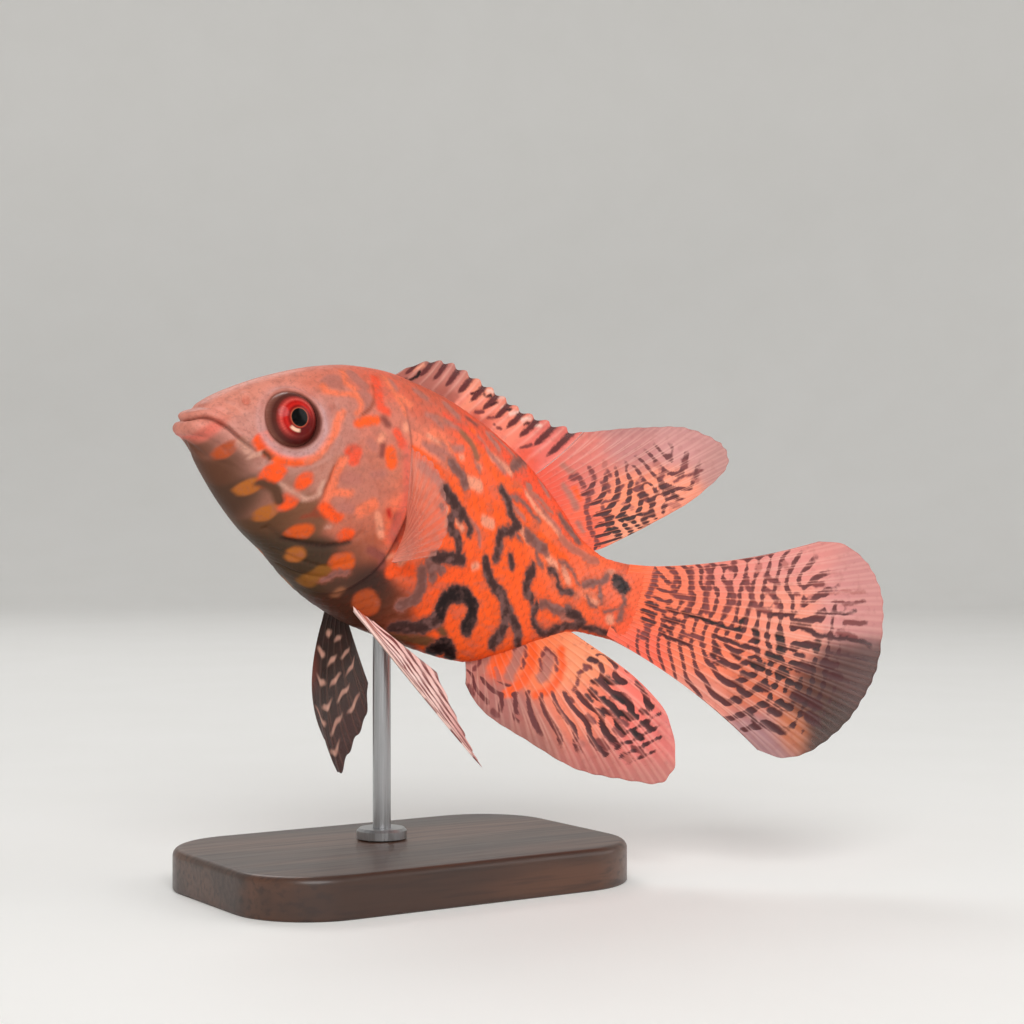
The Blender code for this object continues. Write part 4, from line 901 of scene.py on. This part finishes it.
TAIL_PLACES = [(103, 3, 5, (255, 108, 62)), (106, -7, 4, (250, 105, 80)), (112, 6, 6, (253, 128, 92)),
               (118, 14, 5, (240, 140, 125)), (122, 0, 6, (252, 128, 92)), (130, 20, 5, (228, 142, 134)),
               (132, 8, 6, (242, 145, 120)), (132, -6, 5, (214, 108, 74)), (145, 14, 5, (214, 140, 136)),
               (149, 1, 5, (84, 50, 46)), (140.5, -13, 2.6, (196, 106, 64)),
               (142, -6, 3.5, (84, 42, 28)), (147, -9.5, 4, (62, 36, 28)), (122, -14, 4, (226, 138, 120)),
               (134, -17, 4, (168, 120, 122))]

# Marks on the fins in the fish's plane: tone or ink, half width, then (x, z) points
SPINY_MARKS = [
    ("pale", 0.25, (41.9, 30), (43.4, 31.8)), ("white", 0.25, (59.2, 33.2), (60.9, 33.7)),
    ("white", 0.25, (61.6, 32.6), (62.9, 33.4)), ("white", 0.3, (63.4, 31.1), (64.9, 32.9)),
    ("white", 0.3, (65.7, 30.7), (67.6, 32.1)), ("white", 0.3, (68.5, 30.4), (70.1, 31.6)),
    ("white", 0.3, (71.1, 30.4), (72.7, 30.8)), ("pink", 0.5, (53.4, 27.3), (54.5, 29.3), (55.6, 31.4)),
    ("pink", 0.5, (57.7, 29.7), (59.9, 31.5)), ("pink", 0.5, (59.9, 28), (61.2, 29.8), (62.8, 31)),
    ("black", 0.36, (41, 27.5), (42.7, 28.8), (43.4, 30.2)), ("mid", 0.36, (53.6, 32.4), (54.7, 33.5)),
    ("dark", 0.36, (56, 31.1), (56.9, 32), (57.8, 32.8)), ("dark", 0.42, (58.8, 31.9), (60.1, 32.6)),
    ("dark", 0.42, (60.9, 30.6), (62.3, 31.7)), ("dark", 0.42, (64.1, 30.8), (65.4, 31.5)),
    ("dark", 0.36, (67.3, 31.3), (68.5, 32)), ("dark", 0.36, (69.2, 29.9), (70.4, 30.7)),
    ("mid", 0.48, (58.2, 27.8), (59.5, 28.6)), ("mid", 0.36, (61.2, 27.8), (62.6, 28.6)),
    ("mid", 0.42, (63.3, 27.2), (64.7, 26.9)), ("mid", 0.42, (70, 25.2), (72.2, 26.3)),
]
DORSAL_MARKS = [
    ("mauve", 0.7, (81.6, 20.8), (83.4, 19.2), (85.4, 17.4)), ("mauve", 0.6, (79.8, 24.8), (82.4, 24.2)),
    ("band", 0.6, (83.8, 21), (85.4, 19.6)), ("mauve", 0.5, (86.6, 14.4), (88, 13.2)),
    ("mid", 0.72, (82.4, 22.9), (83.7, 23.6), (85.2, 22.4)),
    ("mid", 0.58, (85.5, 26.3), (86.6, 24.9), (87.3, 24.2)),
    ("mid", 0.65, (86.8, 21.8), (87.4, 21.6), (87.2, 19.8), (87.2, 18.7), (87.9, 16.9), (88.8, 15.4),
     (89.6, 14.2), (90.3, 13)), ("mid", 0.58, (91.1, 12.4), (92, 11.6)),
    ("mid", 0.72, (89.2, 24.2), (90, 23.8), (90.5, 23.1)),
    ("mid", 0.43, (92.9, 25.3), (92.9, 23.7), (92.8, 21.9), (91.8, 20.9), (90.3, 20.2), (90.4, 19.1),
     (91.1, 18)), ("dark", 0.87, (91.6, 17.7), (92.6, 17.8), (92.7, 16.3)),
    ("black", 0.72, (93.2, 15.3), (94.5, 15.3)), ("dark", 0.58, (95.1, 14.7), (95.9, 14.5)),
    ("mid", 0.58, (89.3, 26.8), (89.8, 26.4)), ("faint", 0.58, (87.9, 28.4), (88.4, 27.6)),
    ("faint", 0.58, (94.5, 21.3), (96.4, 21.1)), ("black", 0.72, (95.4, 18.8), (96.4, 18.7)),
    ("mid", 0.51, (97.1, 16.6), (97.5, 16.6)), ("dark", 0.72, (99.3, 19.3), (99.8, 20.3), (100.6, 21.3)),
    ("mid", 0.72, (96, 26.3), (95.9, 25.2), (96.7, 25.3)),
    ("dark", 0.72, (97.2, 24.4), (98.5, 24), (100, 23.3)), ("faint", 0.58, (96.4, 27.8), (96.1, 26.5)),
    ("mid", 0.87, (103.9, 33.8), (103.9, 32.8)), ("faint", 0.72, (98.2, 31.5), (99.3, 31.1)),
    ("mid", 0.65, (100.5, 30.4), (99.9, 29.1)),
    ("mid", 0.36, (107.8, 33), (106.4, 31.7), (104.4, 30.5), (102.9, 29.1)),
    ("dark", 0.72, (100.5, 27.7), (102, 27.1), (103.3, 27)), ("dark", 0.65, (103.6, 26.4), (104.5, 26)),
    ("dark", 0.65, (101.5, 26.2), (102.2, 26)), ("faint", 0.72, (106.8, 30.6), (107.5, 30.5)),
    ("mid", 0.72, (97.5, 24.3), (98.5, 23.7)), ("dark", 0.58, (99.5, 20.5), (100.8, 21.3)),
    ("dark", 0.58, (99.4, 19.6), (99.8, 18.8)), ("faint", 0.72, (103.9, 24.1), (105.2, 24.2)),
]
ANAL_MARKS = [
    ("mauve", 0.9, (77.5, -18.5), (77.3, -20.5), (77.1, -22.2)),
    ("mauve", 1.1, (83.4, -14.5), (83.5, -16.7), (83.3, -19.2), (83.1, -20.3)),
    ("mauve", 1.2, (89.3, -13.6), (90, -15.8), (89.7, -18.3)),
    ("band", 0.9, (80.3, -15.1), (80.4, -17.8), (80.1, -20.8)),
    ("band", 1, (85.8, -12.9), (86.6, -16.1), (86.4, -19.4), (85.1, -22), (83.8, -23.8)),
    ("band", 0.8, (91.6, -11.7), (92.9, -15.6), (92.5, -19.3), (89.7, -22.1)),
    ("mid", 0.41, (82.4, -14.9), (83.2, -13.1), (84.6, -14.1), (85.2, -15.8), (85.2, -17.7)),
    ("mid", 0.41, (89, -16.9), (88.1, -14.2), (88.9, -12.3), (90.8, -13.3), (92, -15.9)),
    ("mid", 0.47, (77.3, -16.7), (76.9, -17.9), (76.4, -19.7), (75.9, -21.5)),
    ("mid", 0.68, (76, -25), (77.2, -26)), ("mid", 0.68, (82.3, -28.1), (83.6, -28.7)),
    ("faint", 0.68, (87.1, -27.5), (88, -27.6)), ("faint", 0.54, (80.3, -19.9), (81.3, -21.2)),
    ("dark", 0.68, (97.8, -11.8), (99.1, -11.7)), ("mid", 0.61, (98.3, -13.3), (97.2, -13.2)),
    ("mid", 0.61, (96.7, -14.8), (97.5, -13.8)), ("mid", 0.47, (96.6, -15.7), (96.7, -17.6), (96.7, -18.7)),
    ("black", 0.74, (101.9, -14.4), (103, -14.8), (104.4, -14.7)),
    ("dark", 0.61, (99.8, -15.6), (101.6, -16.1)), ("dark", 0.61, (99.6, -17.5), (100.9, -18.2)),
    ("dark", 0.61, (99.3, -19.1), (100.6, -19.6)), ("black", 0.81, (104.4, -17.3), (107, -17.9)),
    ("black", 0.74, (103, -18.8), (104.8, -19.3)), ("dark", 0.68, (103.3, -20.6), (105.1, -21.1)),
    ("black", 0.81, (107.4, -20.1), (109.2, -20.7)), ("mid", 0.68, (107.7, -21.9), (108.9, -22.3)),
    ("dark", 0.68, (111, -18.5), (112.3, -18.7)), ("dark", 0.68, (111.7, -21.2), (113.7, -21.6)),
    ("black", 0.81, (110.8, -23.4), (112.4, -23.9)), ("mid", 0.68, (106.8, -24), (108.8, -24.5)),
    ("mid", 0.74, (105.8, -25.7), (108.4, -26.5)), ("mid", 0.81, (104.6, -27.1), (106.5, -27.9)),
    ("mid", 0.68, (111.7, -26.2), (113.7, -26.6)), ("faint", 0.81, (110.5, -28.2), (111.8, -28.8)),
    ("mid", 0.68, (100.8, -23), (102.3, -23.9)), ("mid", 0.47, (96.5, -20.3), (97.1, -21.2)),
    ("faint", 0.68, (100.3, -28.7), (101.7, -28.8)),
]
TAIL_MARKS = [
    ("mid", 0.68, (105, 9), (105.5, 7.5), (105.2, 5.7), (105.3, 4.2)),
    ("dark", 0.68, (105.4, 2.7), (107.3, 2.8)), ("dark", 0.68, (105.3, 1), (107.5, 1)),
    ("dark", 0.61, (105.6, -0.6), (107.7, -0.6)),
    ("mid", 0.74, (106.7, -1.6), (107.2, -2.6), (106.6, -4.1)),
    ("mid", 0.61, (108.4, 11), (109.6, 9.4), (109.6, 7.5), (110.4, 6.1)),
    ("mid", 0.68, (110.1, 6.1), (111.7, 6.2), (113.3, 5.9)), ("dark", 0.54, (109.6, 2.9), (111.6, 2.8)),
    ("dark", 0.61, (110.4, 0.8), (112.8, 0.8)), ("dark", 0.61, (110.3, -0.8), (111.5, -1)),
    ("dark", 0.54, (110.6, -2.3), (112, -2.8), (114.1, -2.8), (116.1, -3)),
    ("mid", 0.54, (114.5, -1.3), (116.3, -0.9), (117.8, -1)),
    ("mid", 0.54, (111.6, 12.3), (112.5, 10.7), (113.1, 8.6), (113.6, 6.6), (113.7, 4.7), (113.7, 3)),
    ("mid", 0.68, (115, 13.6), (116, 11.9), (116.3, 10.1), (116.5, 7.9), (116.8, 6.3), (117.5, 4.6)),
    ("black", 0.54, (112.8, 3), (116.1, 3), (120, 2.7), (122.9, 2.5), (124.9, 2.7), (124.9, 4.2),
     (125.4, 5.9)), ("mid", 0.68, (119.8, 16.1), (119.8, 14.6)),
    ("mid", 0.74, (119.8, 11.6), (121.3, 9.8), (122, 8.3), (121.4, 6.5), (121.1, 5.2)),
    ("mid", 0.68, (123.3, 13.4), (123.6, 12.2), (124.9, 11.2), (125.6, 9.8), (126.7, 8.5), (127.7, 8.1),
     (129.5, 8.2)), ("mid", 0.54, (125.8, 8.3), (125.4, 5.9)), ("faint", 0.68, (125, 16.8), (124.8, 15.3)),
    ("mid", 0.61, (126.8, 15.1), (128.3, 14.5), (129.7, 14.4)), ("mid", 0.68, (127.9, 12.1), (129.3, 11.8)),
    ("mid", 0.61, (130.4, 10.6), (131.2, 9.6)), ("faint", 0.68, (129.2, 18.8), (130.3, 18.1)),
    ("mid", 0.47, (113.8, -1.7), (115.3, -1.1), (117.2, -1.2), (119, -2)),
    ("dark", 0.54, (120.4, 0.3), (122.6, 0.1), (124.5, 0), (126.5, -0.2), (128.3, -0.1), (129.6, 0.3)),
    ("black", 0.81, (128.1, 3.7), (128.9, 1.7)), ("black", 1.08, (133.1, 4.2), (134.3, 1.1)),
    ("dark", 0.68, (121.4, -1.7), (122.2, -2.4), (121.3, -3.8), (122.5, -4.7), (124.9, -4.9)),
    ("dark", 0.68, (125.2, -2), (126.7, -2.5)), ("dark", 0.81, (128.2, -5.6), (129.8, -5.6)),
    ("dark", 0.68, (127.4, -7.9), (129.5, -9.3)), ("black", 0.94, (129.7, -2.9), (131.6, -3.1)),
    ("dark", 0.94, (131.9, -7.3), (133.7, -6.8)), ("black", 0.94, (132, -0.5), (133.8, -0.6)),
    ("black", 0.94, (135, -3.4), (136.5, -3.1)), ("mid", 0.68, (136.6, 16.2), (138.2, 16.7)),
    ("mid", 0.47, (133.5, 13.3), (134.4, 13.2)), ("faint", 0.47, (130.8, 10.3), (130.6, 9.3)),
    ("faint", 0.41, (135.5, 11.1), (136.1, 12.7), (137.7, 14.2), (142.2, 16.2), (147, 17.4)),
    ("mid", 0.47, (141.5, 13.8), (144.6, 14.3), (147, 15.5)),
    ("dark", 0.47, (130, 7.5), (132.7, 8.5), (134.8, 9.5)),
    ("dark", 0.47, (138.2, 9.5), (139.4, 10.8), (141.8, 11.5), (144.8, 12.3), (146, 13)),
    ("dark", 0.68, (135.9, 7.9), (137.1, 7), (138.2, 6.9), (139.6, 6.4), (140.9, 6.1)),
    ("dark", 0.47, (140.3, 6.2), (142.7, 6.6), (144.3, 6.8)),
    ("dark", 0.61, (144.9, 7), (147.5, 7.5), (149.8, 7.3), (150.9, 7.1)),
    ("mid", 0.68, (144.1, 8.2), (146, 8), (147.4, 8)),
    ("mid", 0.61, (144.8, 10.5), (147, 10.7), (148.4, 11.4)), ("black", 0.81, (137.3, 3.3), (139, 3.3)),
    ("black", 0.81, (140.7, 5), (140.9, 3.3)), ("dark", 0.68, (137.4, 1.2), (138.7, 1.1)),
    ("dark", 1.35, (138.7, -0.9), (140.1, -0.7)), ("dark", 1.08, (143.2, 1), (144.6, 1)),
    ("dark", 0.4, (143.6, 3.4), (147.4, 3.8), (151, 4)),
    ("dark", 0.81, (128.1, -8.2), (129.2, -8.8)), ("dark", 0.94, (132.5, -6.9), (133.5, -6.7)),
    ("dark", 0.94, (135.6, -11.3), (137.4, -11)), ("dark", 0.68, (131.7, -12.8), (133.4, -14.1)),
    ("dark", 0.81, (128, -11.1), (128.9, -11)), ("dark", 1.08, (139, -1.1), (140.5, -0.9)),
    ("dark", 1.08, (143.3, 1), (144.6, 1.1)), ("dark", 1.08, (145.4, -0.8), (146.7, -0.8)),
    ("dark", 1.22, (139.5, -7), (141.3, -6.9)), ("dark", 1.22, (142.8, -7.2), (144.2, -7.3)),
    ("dark", 1.22, (143.3, -10.1), (144.6, -10.4)),
    ("faint", 0.68, (121.2, -4.2), (122.5, -4.7)), ("mid", 0.61, (124.2, -4.6), (125.4, -4.9)),
]


def median_fins():
    zero = lambda share: 0 * share

    def on_back(start, end):
        def roots(share):
            x = start + (end - start) * share
            return np.stack([x, through(BACK, x) - 0.6], -1)
        return roots

    def on_belly(share):
        x = 73.5 + (91.4 - 73.5) * share
        return np.stack([x, through(BELLY, x) + 0.6], -1)

    def on_stem(share):
        return np.stack([np.full_like(share, 99.6), 9.2 - 15.4 * share], -1)

    median_sheet("spiny_dorsal_web", "dorsal_fin_spiny", on_back(37.5, 74.6), SPINE_TIPS, 13, 12, 60, 0.1, 1.0,
                 lambda share: zero(share) - 0.03, flat_shade(SPINY_PLACES, SPINY_MARKS, 0.6, None, 12), True)
    median_sheet("soft_dorsal_web", "dorsal_fin_soft", on_back(74.7, 91), DORSAL_TIPS, 20, 8, 90, 0.008, 1.0,
                 lambda share: zero(share) - 0.03, flat_shade(SOFT_DORSAL_PLACES, DORSAL_MARKS, 0.8,
                            (5, 9, 3.0, 0.08, 0.15, 19, (96, 17, 8))))
    median_sheet("anal_web", "anal_fin", on_belly, ANAL_TIPS, 19, 8, 90, 0.008, 1.0,
                 lambda share: zero(share) + 0.03, flat_shade(ANAL_PLACES, ANAL_MARKS, 0.75, (19, 8.5, 2.2, 0.28, 0, 18, (109, -21, 9))))
    median_sheet("tail_web", "tail_fin", on_stem, TAIL_TIPS, 21, 8, 120, 0.004, 1.9,
                 lambda share: -0.04 * np.cos(np.pi * share),
                 flat_shade(TAIL_PLACES, TAIL_MARKS, 0.8, (11, 9.5, 2.6, 0.02, 0, 20, (138, -5, 13))))


def sheet_normals(grid):
    """Unit normals of a grid of points, from the differences along its rows and columns."""
    normal = np.cross(np.gradient(grid, axis=0), np.gradient(grid, axis=1))
    return normal / np.maximum(np.linalg.norm(normal, axis=-1, keepdims=True), 1e-12)


def paired_sheet(name, node, side, foot, tips, rays, columns, rows, lay, bow, sag, shade):
    """A fin beside the body: rays from roots to tips, the first bowed ahead, the sheet cupped by sag."""
    share = np.linspace(0, 1, (rays - 1) * columns + 1)
    along = np.linspace(0, 1, rows)
    tip = edge_curve(tips, share)
    tip = tip + (foot - tip) * (0.03 * np.sin(np.pi * share * (rays - 1)) ** 2)[:, None]
    ahead = foot[0] - foot[-1] + tip[0] - tip[-1]
    ahead = ahead / np.linalg.norm(ahead)
    s = share[:, None]
    middle = foot[:, None] + (tip - foot)[:, None] * along[:, None]
    middle = middle + (bow * (1 - s) * 4 * along * (1 - along))[..., None] * ahead
    middle = middle + sheet_normals(middle) * (sag * np.sin(np.pi * s) * along)[..., None]
    normal = sheet_normals(middle)
    lay = np.array(lay) / np.linalg.norm(lay)
    turned = lay * np.sign((normal[:, 5] * lay).sum(-1))[:, None, None]
    blend = (np.clip(1 - along / 0.15, 0, 1) ** 1.5)[None, :, None]
    normal = normal * (1 - blend) + turned * blend
    normal /= np.linalg.norm(normal, axis=-1, keepdims=True)
    mirror = np.array([1, -side, 1])
    return rayed_sheet(name, node, middle * mirror, normal * mirror, rays, False, 0.6, shade)


def share_shade(places, clear, maze=None, spots=()):
    """Ground of a paired fin from (share, along) places, with a maze of bands or pale spots."""
    def shade(share, along, length, middle):
        plane = np.stack([share, along], -1).reshape(-1, 2)
        ground = blend_places(plane, places)
        ground = brush(ground, plane * [9, 45], [(TONES["ridge"], 0.85, np.array([spot, spot]) * [9, 45])
                                                for spot in spots], 0.9)
        inside, ink = np.full(share.shape, -3.0), np.zeros(share.shape)
        if maze:
            seed, pitch, lean, strength, wide = maze
            bands = sample(labyrinth(seed, (256, 256), pitch, lean), share, along) * 1.2 - wide
            inside, ink = np.maximum(inside, bands), ink + strength
        return {"ground": ground.reshape(*share.shape, 3), "inside": inside, "ink": ink,
                "clear": clear * smooth(along, 0.1, 0.6)}
    return shade


def paired_fins():
    for side, where in ((-1, "left"), (1, "right")):
        share = np.linspace(0, 1, 89)[:, None]
        base = PECTORAL_BASE[0] + (PECTORAL_BASE[1] - PECTORAL_BASE[0]) * share
        foot = np.stack([base[:, 0], 0.5 - side_y(base[:, 0], base[:, 1]), base[:, 1]], -1)
        clear_pink = [(0.2, 0.1, 0.4, (236, 120, 90)), (0.5, 0.6, 0.5, (236, 150, 130)), (0.5, 1, 0.4, (228, 160, 150))]
        paired_sheet("pectoral_web_" + where, "pectoral_fin_" + where, side, foot, PECTORAL_TIPS, 12, 8, 70,
                     (1, 0, 0.1), 0, -0.8, share_shade(clear_pink, 0.8))
        share = np.linspace(0, 1, 61)[:, None]
        base = PELVIC_BASE[0] + (PELVIC_BASE[1] - PELVIC_BASE[0]) * share
        angle = np.pi - np.arcsin((base[:, 1] / through(WIDTH, base[:, 0])) ** (1 / SIDE_FULLNESS))
        foot = surface(base[:, 0], angle) + [0, 0, 0.8]
        if side < 0:
            places = [(0, 0.5, 0.25, (255, 216, 206)), (0.5, 0.5, 0.3, (255, 222, 214)),
                      (0.5, 0.05, 0.12, (248, 140, 106)), (0.4, 1, 0.2, (226, 160, 154)),
                      (1, 0.5, 0.3, (250, 196, 188))]
            maze, spots = (13, 33, 1.5, 0.66, 0.4), ()
        else:
            places = [(0.3, 0.2, 0.3, (44, 26, 20)), (0.5, 0.5, 0.3, (60, 34, 26)), (0.4, 1, 0.3, (72, 30, 26)),
                      (0, 0.4, 0.1, (120, 50, 34))]
            maze = None
            spots = [(0.3, 0.14), (0.6, 0.2), (0.15, 0.26), (0.45, 0.32), (0.75, 0.36), (0.2, 0.42), (0.5, 0.47),
                     (0.8, 0.52), (0.3, 0.57), (0.6, 0.62), (0.15, 0.67), (0.42, 0.74), (0.7, 0.79), (0.3, 0.86)]
        paired_sheet("pelvic_web_" + where, "pelvic_fin_" + where, side, foot, PELVIC_TIPS[side], 7, 10, 100,
                     (0.1, 1, -0.25), PELVIC_BOW[side], 0.4, share_shade(places, 0.2, maze, spots))


def wood_finish():
    """Dark stained wood: long grain along X with rings, under a satin varnish."""
    material, start = new_finish("dark_stained_wood")
    fibre = grain(start, 0.0012, 5.0, (0.06, 1, 1))
    ring = grain(start, 0.012, 3.0, (0.12, 1, 1))
    tone = mix(step(ring, 0.35, 0.7), (58, 34, 22), (92, 56, 36))
    tone = mix(step(fibre, 0.45, 0.7) * 0.6, tone, (36, 20, 14))
    normal = start.node("Bump", {}, {"Strength": 0.25, "Distance": 0.0002, "Height": fibre})
    finish_with(start, Base_Color=tone, Roughness=0.36 + fibre * 0.2, Coat_Weight=0.3, Coat_Roughness=0.2,
                Normal=normal)
    return material


def steel_finish():
    """Brushed steel: fine scratches along the rod."""
    material, start = new_finish("brushed_steel")
    brushed = grain(start, 0.0003, 3.0, (1, 1, 0.04))
    normal = start.node("Bump", {}, {"Strength": 0.15, "Distance": 0.0001, "Height": brushed})
    tone = mix(brushed, (150, 150, 152), (190, 190, 192))
    finish_with(start, Base_Color=tone, Metallic=1.0, Roughness=0.22 + brushed * 0.2, Normal=normal)
    return material


def stand():
    """A wooden slab with round corners and a round brim, and the rod, which keeps its solid."""
    turn = np.radians(np.concatenate([np.linspace(90 * k, 90 * k + 90, 17) for k in range(4)]))
    corner = np.repeat([(1, 1), (-1, 1), (-1, -1), (1, -1)], 17, axis=0) * (BASE[:2] / 2 - BASE_CORNER)
    brim = np.linspace(0, np.pi / 2, 9)
    inset = np.concatenate([[0.3, 0, 0, 0], BASE_BRIM * (1 - np.cos(brim)), [2.2]])
    level = np.concatenate([[0, 0.3, 0.7, 6], BASE[2] - BASE_BRIM * (1 - np.sin(brim)), [BASE[2]]])
    way = np.stack([np.cos(turn), np.sin(turn)], -1)
    flat = BASE_AT + corner + way * (BASE_CORNER - inset)[:, None, None]
    rings = np.concatenate([flat, np.broadcast_to(level[:, None, None], (*flat.shape[:2], 1))], -1)
    slab, faces = capped_tube(rings * MM)
    piece("wooden_base", slab, faces, wood_finish(), "base", ("stand_base",))
    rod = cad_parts["stand_rod"]
    rod.material_slots[0].material = steel_finish()
    rod.data.shade_smooth()
    rod.data.set_sharp_from_angle(angle=0.5)


def studio():
    """A pale floor that curves up into a wall all round, and soft lights."""
    material, start = new_finish("pale_floor")
    finish_with(start, Base_Color=mix(grain(start, 0.05), (246, 245, 242), (250, 249, 247)), Roughness=0.7)
    bend = np.linspace(0, np.pi / 2, 16)
    reach = np.concatenate([[0.02, 0.2, 0.5, 0.9], 1.2 + 0.5 * np.sin(bend), [1.7]])
    height = np.concatenate([[0, 0, 0, 0], 0.5 - 0.5 * np.cos(bend), [1.8]])
    turn = np.linspace(0, 2 * np.pi, 96, endpoint=False)
    rings = np.stack([reach[:, None] * np.cos(turn), reach[:, None] * np.sin(turn), height[:, None] + 0 * turn], -1)
    tube, faces = capped_tube(rings)
    piece("floor", tube, faces[:2], material, None, stage=True)
    for name, place, size, power in (("key", (-0.4, -0.8, 0.7), 0.7, 7.3), ("fill", (0.8, -0.5, 0.5), 0.8, 2.3),
                                     ("back", (0.1, 0.8, 0.9), 0.6, 2.8)):
        lamp = bpy.data.lights.new(name, "AREA")
        lamp.shape, lamp.size, lamp.energy = "DISK", size, power
        obj = bpy.data.objects.new(name, lamp)
        obj.location = place
        toward = Vector(np.array([0, 0, 0.06]) - place)
        obj.rotation_euler = toward.to_track_quat("-Z", "Y").to_euler()
        bpy.context.scene.collection.objects.link(obj)
    world = bpy.data.worlds.new("soft_room")
    world.use_nodes = True
    world.node_tree.nodes["Background"].inputs["Color"].default_value = (1, 1, 1, 1)
    world.node_tree.nodes["Background"].inputs["Strength"].default_value = 0.29
    bpy.context.scene.world = world
    bpy.context.scene.view_settings.view_transform = "Standard"


def camera():
    """Level, 33 degrees round from the side towards the head, with the photograph's framing."""
    lens = bpy.data.cameras.new("camera")
    lens.lens, lens.sensor_width = 73.83, 36
    obj = bpy.data.objects.new("camera", lens)
    obj.location = (-0.22673, -0.35006, 0.07289)
    obj.rotation_euler = (np.pi / 2, 0, np.radians(-33))
    bpy.context.scene.collection.objects.link(obj)
    bpy.context.scene.camera = obj


camera()
studio()
MEMBRANE = membrane_finish()
skin()
eyes()
median_fins()
paired_fins()
stand()
